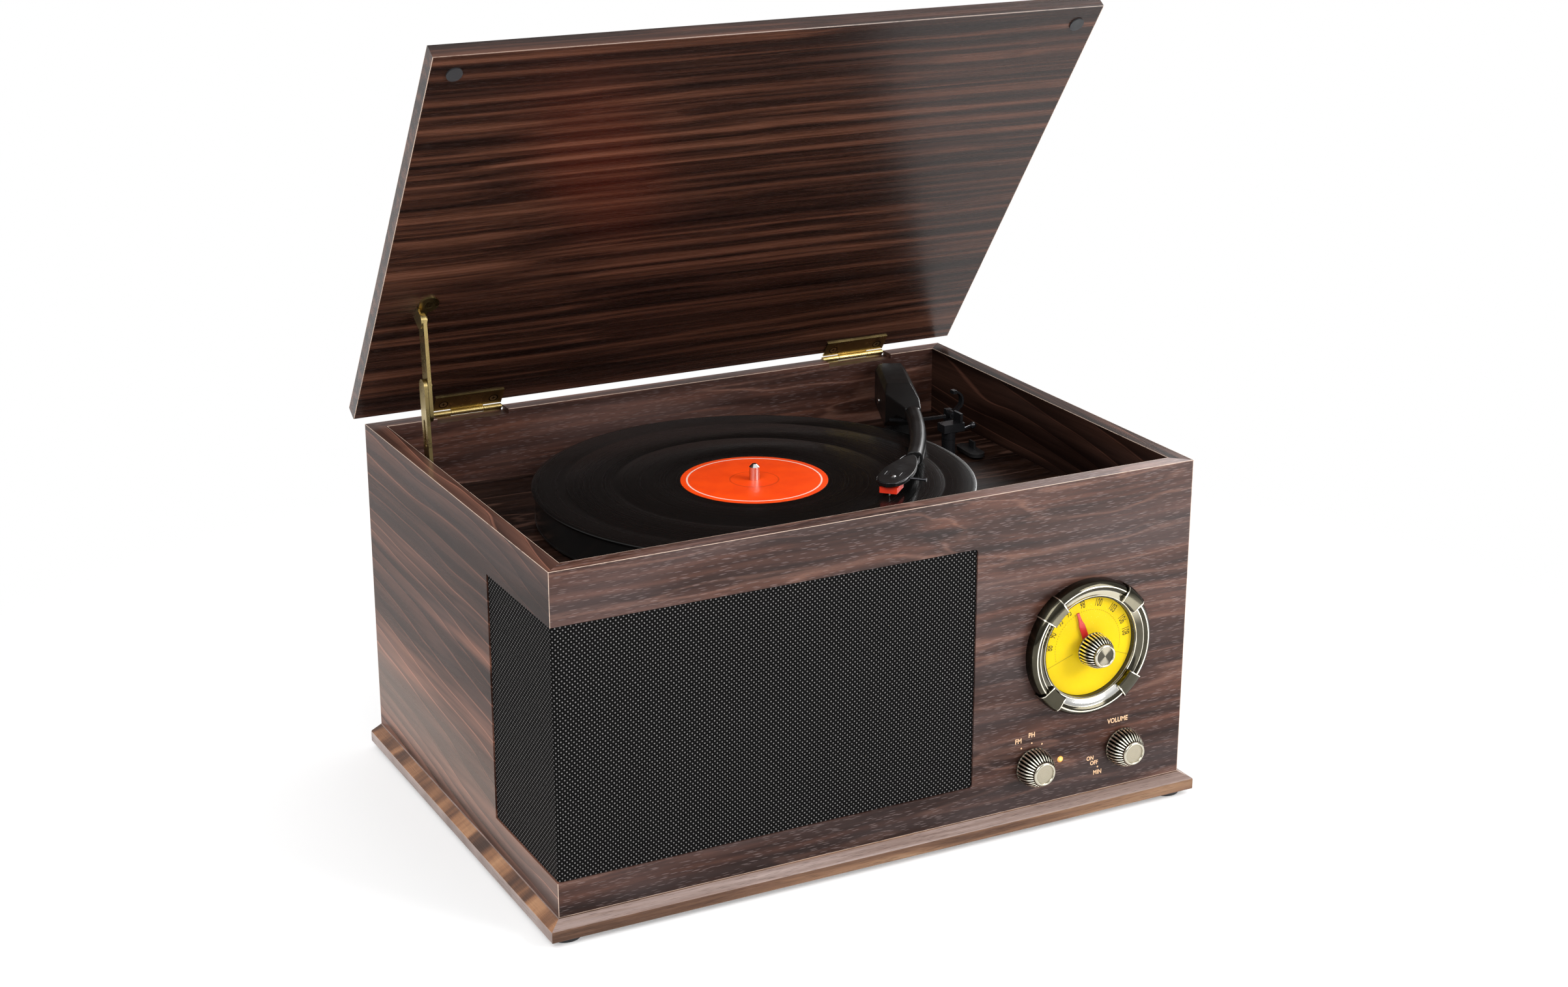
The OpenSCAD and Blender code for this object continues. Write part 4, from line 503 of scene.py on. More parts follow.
# Painted light: the paler print on the front shoulder stands for the light it catches
plinth_painted_light_band = wood("plinth_band_wood", X, pale_tones, along=4.0, across=160.0, grey=0.0, veins=0.0, pale=0.2,
                   streak=0.3, rough=(0.20, 0.30), spec=0.15, seed=11.0, gain=0.55)
plinth_rail = wood("plinth_rail_wood", Y, rail_tones, along=62.0, across=9.0, grey=0.0, veins=0.0, pale=0.0, dark=0.1,
                   streak=0.25, rough=(0.22, 0.32), spec=0.35, seed=14.0, gain=0.9)
plinth_foot = wood("plinth_foot_wood", Y, pale_tones, along=30.0, across=40.0, grey=0.0, veins=0.0, pale=0.1, dark=0.1,
                   streak=0.3, gain=0.62, rough=(0.25, 0.35), spec=0.3, seed=17.0)
raw = wood("raw_board", X, [(0.26, 0.17, 0.10), (0.34, 0.24, 0.15), (0.42, 0.30, 0.19), (0.48, 0.35, 0.23),
                            (0.54, 0.40, 0.27)], grey=0.0, veins=0.0, streak=0.2, pale=0.2, dark=0.15,
           rough=(0.6, 0.75), spec=0.3)

black_plastic = surface("black_plastic", (0.014, 0.014, 0.0145), rough=0.30, pebble=0.12, vary=0.3)
arm_black = surface("arm_black", (0.0065, 0.0063, 0.0063), rough=0.33, spec=0.30, pebble=0.02, pebble_size=1400.0)
rubber = surface("black_rubber", (0.017, 0.018, 0.021), rough=0.62, pebble=0.35, pebble_size=1600.0, vary=0.35)
dark_steel = surface("dark_steel", (0.055, 0.055, 0.060), 0.85, 0.26, vary=0.35, scratch=0.15)
bright_steel = surface("bright_steel", (0.74, 0.74, 0.73), 1.0, 0.16, vary=0.12, scratch=0.2)
BRASS = (0.43, 0.33, 0.14)
brass = surface("antique_brass", BRASS, 1.0, 0.27, tint=(0.33, 0.245, 0.10), size=18.0)


# Each hinge from the middle, its screws from its own middle, and the screws from the hinge's axis
LEAF_X, LEAF_SCREW_X, LEAF_SCREW = 155.0, 18.6, 8.8


def leaf_brass(name, across, along, vec=None):
    """Hinge brass with a bright head for each screw, and painted shade in the gap round each head and in its cross
    recess.
    """
    p = Paint(name, BRASS, 1.0, 0.27)
    if vec:
        p.where = vec(p)
    xyz = p.parts()
    apart = p.calc("SUBTRACT", p.calc("ABSOLUTE", p.calc("SUBTRACT", p.calc("ABSOLUTE", xyz[0]), LEAF_X * MM)),
                   LEAF_SCREW_X * MM)
    off = p.calc("SUBTRACT", xyz[across], along * MM)
    away = p.away(apart, off)
    cloud = p.noise(p.scaled((60,) * 3), 4.0, 0.6)
    colour = p.mix(p.span(cloud, 0.35, 0.65), BRASS, (0.27, 0.20, 0.08))
    # Painted shade: a dark ring in the gap round each screw head
    ring = p.times(p.span(away, 2.5 * MM, 2.8 * MM), p.span(away, 3.3 * MM, 3.6 * MM, 1.0, 0.0))
    colour = p.mix(ring, colour, (0.03, 0.02, 0.008))
    arm = p.calc("MINIMUM", p.calc("ABSOLUTE", apart), p.calc("ABSOLUTE", off))
    # Painted shade: a dark cross for the screw head's recess
    cross = p.times(p.span(arm, 0.30 * MM, 0.45 * MM, 1.0, 0.0), p.span(away, 1.3 * MM, 1.6 * MM, 1.0, 0.0))
    colour = p.mix(cross, colour, (0.02, 0.013, 0.006))
    head = p.times(p.span(away, 2.5 * MM, 2.7 * MM, 1.0, 0.0), p.calc("SUBTRACT", 1.0, cross))
    p.set("Base Color", p.mix(p.times(head, 0.6), colour, (0.72, 0.60, 0.34)))
    p.set("Roughness", p.span(cloud, 0.3, 0.7, 0.22, 0.34, False))
    return p.m


lid_leaf_brass = leaf_brass("lid_leaf_brass", 1, HINGE.y - LEAF_SCREW, shut)
back_leaf_brass = leaf_brass("back_leaf_brass", 2, HINGE.z - LEAF_SCREW)
pulley_brass = surface("pulley_brass", (0.62, 0.46, 0.20), 1.0, 0.22, vary=0.3, scratch=0.3)
grille_plastic = surface("grille_plastic", (0.014, 0.014, 0.014), rough=0.55, pebble=0.2)
speaker_steel = surface("speaker_steel", (0.035, 0.035, 0.037), 0.2, 0.45, pebble=0.2)
paper = surface("speaker_paper", (0.03, 0.03, 0.03), rough=0.85, pebble=0.5, pebble_size=700.0)
tuner_metal = surface("tuner_metal", (0.50, 0.50, 0.50), 0.9, 0.34, grime=0.2, scratch=0.3)
board_green = surface("circuit_board", (0.02, 0.10, 0.035), rough=0.35, tint=(0.03, 0.15, 0.05), size=120.0, pebble=0.1)
red_plastic = surface("red_plastic", (0.80, 0.035, 0.008), rough=0.33, tint=(0.62, 0.02, 0.006), size=60.0, pebble=0.05)
amber = surface("amber_lamp", (0.95, 0.36, 0.04), rough=0.15, tint=(0.95, 0.62, 0.2), size=260.0)
felt = surface("felt", (0.016, 0.016, 0.017), rough=0.95, pebble=0.8, pebble_size=1100.0, sheen=0.2)
platter_gloss = surface("platter_gloss", (0.010, 0.010, 0.010), rough=0.16, vary=0.3, scratch=0.08)
# The bezel's plating in two copies: the dark antique chrome, whose darkness partly paints the dark it reflects, and a
# bright copy, painted highlight on its edge lines
chrome = surface("antique_chrome", (0.070, 0.064, 0.046), 1.0, 0.10, tint=(0.045, 0.041, 0.029), size=40.0)
chrome_painted_highlight = surface("chrome_painted_highlight", (0.80, 0.76, 0.66), 1.0, 0.10, tint=(0.62, 0.58, 0.48), size=40.0)
champagne = surface("champagne_chrome", (0.60, 0.54, 0.42), 1.0, 0.24, tint=(0.50, 0.45, 0.34), size=60.0, scratch=0.15)
dial_yellow = surface("dial_yellow", (0.72, 0.51, 0.001), rough=0.6, spec=0.06, tint=(0.68, 0.475, 0.001), size=30.0,
                      pebble=0.04)
ink = surface("dial_ink", (0.055, 0.044, 0.006), rough=0.7, spec=0.1, vary=0.2, size=80.0)
pointer_red = surface("pointer_red", (0.50, 0.006, 0.004), rough=0.35, vary=0.2, size=80.0)
print_gold = surface("print_gold", (0.80, 0.50, 0.29), rough=0.5, vary=0.2, size=200.0)


def glass():
    p = Paint("clear_lens", (0.95, 0.97, 1.0), rough=0.04, spec=0.6)
    facing = p.node("ShaderNodeLayerWeight", {"Blend": 0.2}).outputs["Fresnel"]
    smear = p.noise(p.scaled((60, 60, 60)), 3.0, 0.6)
    p.set("Roughness", p.span(smear, 0.3, 0.7, 0.03, 0.07, False))
    p.set("Alpha", p.span(facing, 0.15, 1.0, 0.004, 0.16, False))
    return p.m


GROOVE_PITCH = 0.0009


def vinyl():
    p = Paint("vinyl", (0.007, 0.007, 0.007), rough=0.2, spec=0.26, aniso=0.7)
    xyz = p.parts_from(SPIN)
    r = p.away(xyz[0], xyz[1])
    tracks = p.noise(p.node("ShaderNodeCombineXYZ", {"X": p.times(r, 900.0)}).outputs[0], 4.0, 0.7)
    p.set("Base Color", p.ramp(tracks, [(0.35, (0.0022, 0.0022, 0.0022)), (0.6, (0.005, 0.0048, 0.0046)),
                                        (0.72, (0.010, 0.0095, 0.009))]))
    p.set("Roughness", p.span(tracks, 0.35, 0.7, 0.16, 0.34, False))
    groove = p.calc("SINE", p.times(r, math.tau / GROOVE_PITCH))
    p.bump(p.calc("ADD", p.times(groove, 0.5), tracks), 0.05, 0.00008)
    p.set("Tangent", p.node("ShaderNodeTangent", direction_type="RADIAL", axis="Z").outputs[0])
    return p.m


THREAD_PITCH = 1.7


def weave():
    """Coarse basket weave on UVs in millimetres; its colour follows the weave's height, as painted shade between the
    threads and painted highlights on their crowns.
    """
    p = Paint("grille_weave", rough=0.85, spec=0.03)
    uv = p.node("ShaderNodeTexCoord").outputs["UV"]
    xy = p.parts(p.scaled((math.pi / THREAD_PITCH,) * 3, vec=uv))
    wob = p.noise(p.scaled((0.45,) * 3, vec=uv), 2.0, 0.5)
    a = p.calc("SINE", p.calc("ADD", xy[0], p.times(wob, 0.5)))
    b = p.calc("SINE", p.calc("ADD", xy[1], p.times(wob, 0.5)))
    over = p.times(a, b)
    crown_height_and_light = p.calc("POWER", p.calc("ABSOLUTE", over), 0.6)
    lay = p.span(over, -0.12, 0.12)
    fibre_h = p.noise(p.scaled((1.2, 14, 1), vec=uv), 3.0, 0.6)
    fibre_v = p.noise(p.scaled((14, 1.2, 1), vec=uv), 3.0, 0.6)
    fibre = p.mix(lay, fibre_v, fibre_h)
    level = p.times(crown_height_and_light, p.span(fibre, 0.2, 0.8, 0.5, 1.0, False))
    up = p.times(level, p.span(over, -0.5, 0.6, 0.45, 1.0))
    # Painted shade and highlight: dark where the weave is low, light on the thread crowns
    p.set("Base Color", p.ramp(up, [(0.15, (0.0016, 0.0016, 0.0016)), (0.38, (0.010, 0.0097, 0.0097)),
                                    (0.60, (0.065, 0.062, 0.062)), (0.82, (0.31, 0.30, 0.295))]))
    p.bump(up, 0.7, 0.0005)
    return p.m


# Radii on the label: the printed ring, and the ring that the press leaves
PRINT_RING, PRESS_RING = 45.6, 16.5


def label_paper():
    p = Paint("label_paper", (0.80, 0.06, 0.003), rough=0.42, spec=0.4)
    xyz = p.parts_from(SPIN)
    r = p.times(p.away(xyz[0], xyz[1]), 1 / MM)
    cloud = p.noise(p.scaled((70, 70, 70)), 4.0, 0.6)
    colour = p.mix(p.span(cloud, 0.3, 0.7), (0.97, 0.075, 0.003), (0.88, 0.058, 0.003))

    def ring(at, width, strength):
        return p.times(p.span(p.calc("ABSOLUTE", p.calc("SUBTRACT", r, at)), width * 0.5, width, 1.0, 0.0),
                      strength)

    colour = p.mix(ring(PRINT_RING, 0.75, 0.85), colour, (0.93, 0.72, 0.62))
    colour = p.mix(ring(PRESS_RING, 0.7, 0.5), colour, (0.45, 0.03, 0.003))
    p.set("Base Color", colour)
    p.bump(p.calc("ADD", p.noise(p.scaled((900,) * 3), 3.0, 0.6), ring(PRESS_RING, 1.4, 2.0)), 0.25, 0.0001)
    return p.m


vinyl_black, label_orange, cloth, lens_glass = vinyl(), label_paper(), weave(), glass()

carried = [
    (front_wood, "front_panel"), (left_wood, "left_panel"), (right_wood, "right_panel"), (back_wood, "back_panel"),
    (deck_wood, "deck_board"), (lid_wood, "lid_board"), (raw, "bottom_board inner_framing speaker_baffle"),
    (plinth_face, "plinth"), (rubber, "rubber_feet lid_bumpers drive_belt"),
    (grille_plastic, "grille_frame grille_cloth"), (speaker_steel, "speaker_drivers"), (paper, "speaker_cones"),
    (back_leaf_brass, "hinge_cabinet_leaves cabinet_screws"), (lid_leaf_brass, "hinge_lid_leaves lid_screws"),
    (brass, "stay_lid_bracket stay_upper_link stay_lower_link stay_wall_bracket"), (platter_gloss, "platter"),
    (felt, "slip_mat"), (vinyl_black, "record"), (label_orange, "record_label"),
    (bright_steel, "spindle bearing_housing motor rca_sockets stylus"), (pulley_brass, "motor_pulley"),
    (black_plastic, "tonearm_base speed_lever rear_plate power_inlet"), (arm_black, "tonearm headshell"),
    (dark_steel, "tonearm_yoke finger_lift arm_rest arm_clip cue_lever cue_lift"),
    (red_plastic, "cartridge dial_pointer"), (chrome, "dial_bezel tuning_knob"),
    (champagne, "selector_knob volume_knob"), (dial_yellow, "dial_face"), (lens_glass, "dial_lens"), (amber, "lamp"),
    (tuner_metal, "tuner_unit mains_transformer"), (board_green, "control_board amplifier_board"),
]
for material, names in carried:
    for name in names.split():
        nodes[name].data.materials.clear()
        nodes[name].data.materials.append(material)

# ---------------------------------------------------------------- plinth

p_lo, p_hi = low("plinth"), high("plinth")
# (depth behind the face, height); the shoulder's faces have a material of their own: on the front a paler print,
# painted light where the shoulder catches the light, and on the sides the rail's cross grain
profile = [(0.0, 0.0), (0.0, 7.4), (0.5, 8.0), (6.6, 11.1), (7.4, 11.6), (8.0, 12.0), (24.0, 12.0), (24.0, 0.0)]
SHOULDER = (1, 2, 3)


def moulding(cuts, start, end, face, band):
    """A length of the moulding between two outer corners; inwards is left of the run, and 1 in cuts is a mitre."""
    a, b = Vector(start), Vector(end)
    run = (b - a).normalized()
    side = Vector((-run.y, run.x))
    s = [(a + side * x + run * x * cuts[0], h) for x, h in profile]
    e = [(b + side * x - run * x * cuts[1], h) for x, h in profile]
    n = len(profile)
    verts = [(q.x, q.y, p_lo.z + h) for q, h in s + e]
    sides = [[i, (i + 1) % n, n + (i + 1) % n, n + i] for i in range(n)]
    ends = [list(range(n))[::-1], list(range(n, 2 * n))]
    plinth.add(verts, [sides[i] for i in range(n) if i not in SHOULDER] + ends, face)
    plinth.add(verts, [sides[i] for i in SHOULDER], band)


plinth = Shape()
fl, fr = (p_lo.x, p_lo.y), (p_hi.x, p_lo.y)
bl, br = (p_lo.x, p_hi.y), (p_hi.x, p_hi.y)
moulding((1, 1), fl, fr, 0, 1)
moulding((1, 0), fr, br, 3, 2)
moulding((0, 1), bl, fl, 3, 2)
plinth.box((p_lo.x + 24, p_hi.y - 26, p_lo.z), (p_hi.x - 24, p_hi.y, p_hi.z), 0)
plinth.piece("plinth_moulding", "root", "plinth_wood", [plinth_face, plinth_painted_light_band, plinth_rail, plinth_foot], smooth=28,
             bevel=0.35, segments=2, replaces=["plinth"])

# ---------------------------------------------------------------- record, label and spindle

spin = Matrix.Translation((SPIN.x, SPIN.y, 0))
rec_lo, rec_hi = low("record"), high("record")
rr = (rec_hi.x - rec_lo.x) / 2
top, bot = rec_hi.z, rec_lo.z
record = Shape(spin)
PLAIN, CUT = top - 0.16, top - 0.05
groove = [(52.0, PLAIN), (60.0, PLAIN), (61.0, CUT), (93.0, CUT), (93.6, PLAIN), (95.0, PLAIN), (95.6, CUT),
          (128.0, CUT), (128.6, PLAIN), (130.0, PLAIN), (130.6, CUT), (146.0, CUT)]
record.lathe([(3.8, bot), (3.8, top - 0.1), (50.2, top - 0.1)] + groove +
             [(147.2, top), (rr - 1.2, top), (rr - 0.3, top - 0.3), (rr, top - 0.8), (rr - 0.3, bot + 0.3),
              (rr - 1.2, bot), (3.8, bot)], 192)
record.piece("record_disc", "turntable", "vinyl", [vinyl_black], smooth=40, replaces=["record"])

lab_lo, lab_hi = low("record_label"), high("record_label")
lr = (lab_hi.x - lab_lo.x) / 2
label = Shape(spin)
label.lathe([(3.6, lab_lo.z), (3.6, lab_hi.z), (14.6, lab_hi.z), (15.2, lab_hi.z - 0.05), (15.8, lab_hi.z),
             (lr - 0.3, lab_hi.z), (lr, lab_hi.z - 0.05), (lr, lab_lo.z), (3.6, lab_lo.z)], 128)
label.piece("record_label_print", "turntable", "label_paper", [label_orange], smooth=40, replaces=["record_label"])

# ---------------------------------------------------------------- grille cloth

g_lo, g_hi = low("grille_cloth"), high("grille_cloth")


def cloth_sheet():
    """The cloth as one sheet, from the side round the corner to the front, with UVs in millimetres."""
    x0, y0, r = g_lo.x, g_lo.y, 2.5
    n_side, n_front, rows = 40, 120, 60
    path = []
    for i in range(n_side + 1):
        path.append(Vector((x0, g_hi.y + (y0 + r - g_hi.y) * i / n_side)))
    for i in range(1, 9):
        a = math.pi + math.pi / 2 * i / 8
        path.append(Vector((x0 + r + r * math.cos(a), y0 + r + r * math.sin(a))))
    for i in range(1, n_front + 1):
        path.append(Vector((x0 + r + (g_hi.x - x0 - r) * i / n_front, y0)))
    runs = [0.0]
    for a, b in zip(path, path[1:]):
        runs.append(runs[-1] + (b - a).length)
    verts = [(q.x, q.y, g_lo.z + (g_hi.z - g_lo.z) * k / rows) for k in range(rows + 1) for q in path]
    n = len(path)
    faces = [[k * n + i, k * n + i + 1, (k + 1) * n + i + 1, (k + 1) * n + i]
             for k in range(rows) for i in range(n - 1)]
    s = Shape()
    s.add(verts, faces)
    obj = s.piece("grille_cloth_weave", "root", "grille_cloth", [cloth], smooth=80, replaces=["grille_cloth"])
    uv = obj.data.uv_layers.new(name="weave")
    lookup = {(round(q.x, 3), round(q.y, 3)): u for q, u in zip(path, runs)}
    for loop in obj.data.loops:
        c = obj.data.vertices[loop.vertex_index].co / MM
        uv.data[loop.index].uv = (lookup[(round(c.x, 3), round(c.y, 3))], c.z)


cloth_sheet()

# ---------------------------------------------------------------- tonearm

remeshed("tonearm", "tonearm_moulding", "arm", "arm_plastic", arm_black, 0.5, 4, replaces=["tonearm"])
remeshed("headshell", "headshell_moulding", "arm", "arm_plastic", arm_black, 0.35, 3, replaces=["headshell"])

# The headshell's frame starts at the stylus, X forwards
SHELL = arm_at(222.06, -35.40, 0.0, -23.3)
shell_top = high("headshell").z
plate = [(7.4, 0.0), (6.2, 4.6), (2.6, 8.0), (-3.0, 9.9), (-20.0, 10.3), (-32.0, 9.2), (-44.0, 6.6), (-56.0, 4.9)]
trim = Shape(SHELL)
outline = plate + [(x, -y) for x, y in plate[-1:0:-1]]
path = [(x, y, shell_top - 0.45) for x, y in outline]
sunk, proud = shell_top - 0.3, shell_top + 0.04
trim.tube(path[:8], 0.34, 10)
trim.tube([path[0]] + path[:7:-1], 0.34, 10)
for x, y, r in ((-24.0, 0.0, 1.5), (-31.0, -1.2, 1.2), (-37.5, 1.0, 1.1)):
    trim.lathe([(r, sunk), (r, proud), (0.0, proud)], 20, 1, Matrix.Translation((x, y, 0)))
for y in (-5.2, 5.2):
    slot = [(-18.5, y - 1.2), (-9.5, y - 1.2), (-8.7, y), (-9.5, y + 1.2), (-18.5, y + 1.2), (-19.3, y)]
    trim.prism(slot, sunk, proud, 1)
screw_at = Matrix.Translation((-8.0, 0.0, 0))
trim.lathe([(1.9, shell_top - 0.2), (1.9, shell_top + 0.35), (1.5, shell_top + 0.6), (0.0, shell_top + 0.7)], 24, 2,
           screw_at)
trim.box((-1.4, -0.22, shell_top + 0.5), (1.4, 0.22, shell_top + 0.74), 1, screw_at)
trim.piece("headshell_trim", "arm", "arm_plastic", [dark_steel, black_plastic, bright_steel], smooth=40)

pivot = Shape(arm_at())
for v, out in ((-16.0, -1), (9.0, 1)):
    turned = Matrix.Translation((0, v, LIFT_Z)) @ Matrix.Rotation(math.radians(-90 * out), 4, "X")
    pivot.lathe([(2.3, -0.2), (2.3, 0.5), (1.9, 0.8), (0.7, 0.85), (0.0, 0.4)], 24, 0, turned)
pivot.piece("pivot_screws", "arm", "bright_steel", [bright_steel], smooth=40)

# ---------------------------------------------------------------- dial and knobs

dial = on_front(DIAL.x, DIAL.z)


def inner_cone():
    """The bezel's inner slope: dark chrome, with a painted beige reflection at the top and a painted bright reflection
    at the bottom.
    """
    p = Paint("bezel_cone", (0.7, 0.67, 0.58), 1.0, 0.09)
    xyz = p.parts_from(DIAL)
    angle = p.calc("ARCTAN2", xyz[2], xyz[0])
    painted_reflection_low = p.span(p.calc("COSINE", p.calc("SUBTRACT", angle, math.radians(-88))), 0.68, 0.78)
    painted_reflection_top = p.span(p.calc("COSINE", p.calc("SUBTRACT", angle, math.radians(78))), 0.45, 0.80)
    smear = p.noise(p.scaled((90, 90, 90)), 3.0, 0.6)
    colour = p.mix(smear, (0.060, 0.055, 0.040), (0.11, 0.10, 0.075))
    # Painted reflections: beige at the top and bright at the bottom
    colour = p.mix(painted_reflection_top, colour, (0.52, 0.48, 0.37))
    p.set("Base Color", p.mix(painted_reflection_low, colour, (0.93, 0.92, 0.88)))
    p.set("Roughness", p.span(smear, 0.3, 0.7, 0.07, 0.13, False))
    return p.m


bezel = Shape(dial)
# (radius, height) of each turned part, and its material: 0 chrome, 1 painted highlight on the edge lines, 2 inner slope
rims = [([(34.95, 0.2), (47.2, 0.2), (47.2, 5.0), (46.8, 6.7), (46.0, 7.9), (45.0, 8.8), (44.1, 9.3)], 0),
        ([(44.1, 9.3), (43.7, 9.45), (43.3, 9.4)], 1), ([(43.3, 9.4), (42.2, 9.2), (41.4, 8.5), (40.9, 8.2)], 0),
        ([(40.9, 8.2), (40.6, 8.3), (40.3, 8.15)], 1),
        ([(40.3, 8.15), (39.0, 7.8), (37.8, 7.2), (36.9, 6.5), (36.4, 6.2)], 2),
        ([(36.4, 6.2), (36.15, 6.2), (35.9, 5.7)], 1), ([(35.9, 5.7), (34.95, 5.5), (34.95, 0.2)], 0)]
for points, mat in rims:
    bezel.lathe(points, 144, mat)
for k in range(4):
    c, half, edge = math.radians(45 + 90 * k), math.radians(10), math.radians(0.4)
    hook = [(46.8, 0.3), (48.2, 0.3), (48.3, 7.0), (47.2, 8.9), (45.3, 10.4), (37.4, 10.4), (36.5, 9.6), (36.4, 6.8),
            (40.2, 5.6), (46.8, 0.3)]
    bezel.lathe(hook, 12, 0, start=c - half, end=c + half)
    # The clamps' edges in the bright copy: painted highlights
    lip = [(48.1, 0.3), (48.5, 0.3), (48.5, 7.2), (47.4, 9.2), (45.5, 10.6), (37.3, 10.6), (36.4, 9.9), (36.4, 9.4),
           (45.1, 10.0), (46.9, 8.6), (48.1, 6.8), (48.1, 0.3)]
    for e in (-half - edge, half - edge):
        bezel.lathe(lip, 2, 1, start=c + e, end=c + e + 2 * edge)
bezel.piece("dial_bezel_ring", "root", "antique_chrome", [chrome, chrome_painted_highlight, inner_cone()], smooth=40,
            replaces=["dial_bezel"])

marks = Shape(dial)
f_out = FRONT - low("dial_face").y + 0.03
DOTS_R, NUMBER_R = 25.5, 30.2


def around(r, a):
    """A place on the dial's face at a radius and an angle."""
    return Matrix.Translation((r * math.cos(a), r * math.sin(a), f_out))


for i in range(53):
    marks.lathe([(0, 0.02), (0.30, 0.02), (0.30, 0)], 10, at=around(DOTS_R, math.radians(195 - 4 * i)))
for a in (-160.7, -20.0):
    at = Matrix.Rotation(math.radians(a), 4, "Z") @ Matrix.Translation((0, 0, f_out))
    marks.box((12.0, -0.11, 0), (34.3, 0.11, 0.02), at=at)
marks.piece("dial_marks", "root", "dial_yellow", [ink], smooth=30)


def lettering(name, text, at, size, width, mat, thin):
    """Plain letters or numbers as thin flat faces; thin takes from each stroke's outline."""
    curve = bpy.data.curves.new(name, "FONT")
    curve.body, curve.size, curve.align_x, curve.align_y = text, size * MM, "CENTER", "CENTER"
    curve.extrude, curve.offset, curve.resolution_u = 0.01 * MM, thin * MM, 4
    tmp = shown(name + "_tmp", curve)
    bpy.context.view_layer.update()
    mesh = bpy.data.meshes.new_from_object(tmp.evaluated_get(bpy.context.evaluated_depsgraph_get()))
    bpy.data.objects.remove(tmp)
    bpy.data.curves.remove(curve)
    m = at.copy()
    m.translation *= MM
    mesh.transform(m @ Matrix.Diagonal((width, 1, 1, 1)))
    mesh.materials.clear()
    mesh.materials.append(mat)
    mesh.name = name
    obj = shown(name, mesh)
    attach(obj, "root")


for number, deg in ((88, 173), (90, 156), (93, 138), (95, 122), (98, 100), (100, 76), (103, 51.5), (106, 28),
                    (108, 10)):
    a = math.radians(deg)
    at = dial @ around(NUMBER_R, a) @ Matrix.Rotation(a - math.pi / 2, 4, "Z")
    lettering(f"dial_number_{number}", str(number), at, 7.7, 0.52, ink, 0.07)


def flutes(name, centre, count, base_d, out):
    """Plating on a fluted knob: painted shade in the valleys and on the foot at the panel, painted highlights on the
    crests, and a bright front ring.
    """
    p = Paint(name, (0.5, 0.46, 0.36), 1.0, 0.16)
    xyz = p.parts_from(centre)
    angle = p.calc("ARCTAN2", xyz[2], xyz[0])
    painted_flute_light = p.calc("ABSOLUTE", p.calc("COSINE", p.times(angle, count / 2)))
    cloud = p.noise(p.scaled((300, 300, 300)), 2.0, 0.5)
    # Painted shade in the valleys and painted highlights on the crests
    colour = p.ramp(p.calc("ADD", painted_flute_light, p.span(cloud, 0.3, 0.7, -0.05, 0.05, False)),
                    [(0.40, (0.006, 0.0055, 0.004)), (0.62, (0.10, 0.092, 0.068)), (0.78, (0.45, 0.42, 0.32)),
                     (0.92, (0.98, 0.95, 0.84))])
    front = p.span(p.times(xyz[1], -1.0), (out - 2.0) * MM, (out - 1.5) * MM)
    colour = p.mix(front, colour, (0.50, 0.47, 0.38))
    # Painted shade on the foot, where the knob meets the panel
    painted_foot_shade = p.span(p.times(xyz[1], -1.0), (base_d + 1.3) * MM, (base_d + 1.7) * MM, 1.0, 0.0)
    p.set("Base Color", p.mix(painted_foot_shade, colour, (0.20, 0.185, 0.14)))
    p.set("Roughness", p.span(cloud, 0.3, 0.7, 0.13, 0.22, False))
    return p.m


def knob(node, joint, base_r, front_r, face_r, base_d, out, ribs, slot, disc):
    """A fluted knob with a smooth front ring and a dished disc."""
    joint_at = place(joint)
    s = Shape(on_front(joint_at.x, joint_at.z))
    depth = out - base_d
    prof = [(0.0, base_d), (base_r - 1.4, base_d), (base_r - 0.4, base_d + 0.25), (base_r, base_d + 0.8),
            (base_r, base_d + 1.5)]
    plain = len(prof)
    steps = 14
    for i in range(steps + 1):
        t = i / steps
        r = base_r - 0.15 - (base_r - front_r - 0.7) * t ** 2.6
        prof.append((r, base_d + 1.9 + (depth - 4.0) * t))
    ribbed = len(prof)
    prof += [(front_r + 0.45, out - 1.7), (front_r + 0.35, out - 0.9), (front_r - 0.1, out - 0.3),
             (front_r - 0.8, out), (face_r + 0.35, out), (face_r, out - 0.3), (face_r - 0.15, out - 1.0)]

    def flute(a, k):
        if k < plain - 1 or k >= ribbed:
            return 1.0
        fade = min(1.0, (k - plain + 1) / 1.5, (ribbed - k) / 1.5)
        return 1.0 - 0.15 * fade * (1 - abs(math.cos(ribs * a / 2)) ** 0.75)

    s.lathe(prof, ribs * 8, 0, ribs=flute)
    s.lathe([(face_r - 0.15, out - 1.0), (0.0, out - 0.93)], 64, 1)
    s.lathe([(3.0, base_d), (3.0, -11.9), (0.0, -11.9)], 32, 0)
    centre = Vector((joint_at.x, FRONT, joint_at.z))
    mats = [flutes(node + "_fluted_plating", centre, ribs, base_d, out), disc]
    s.piece(node + "_fluted", joints[joint]["child"], slot, mats, smooth=50, replaces=[node])


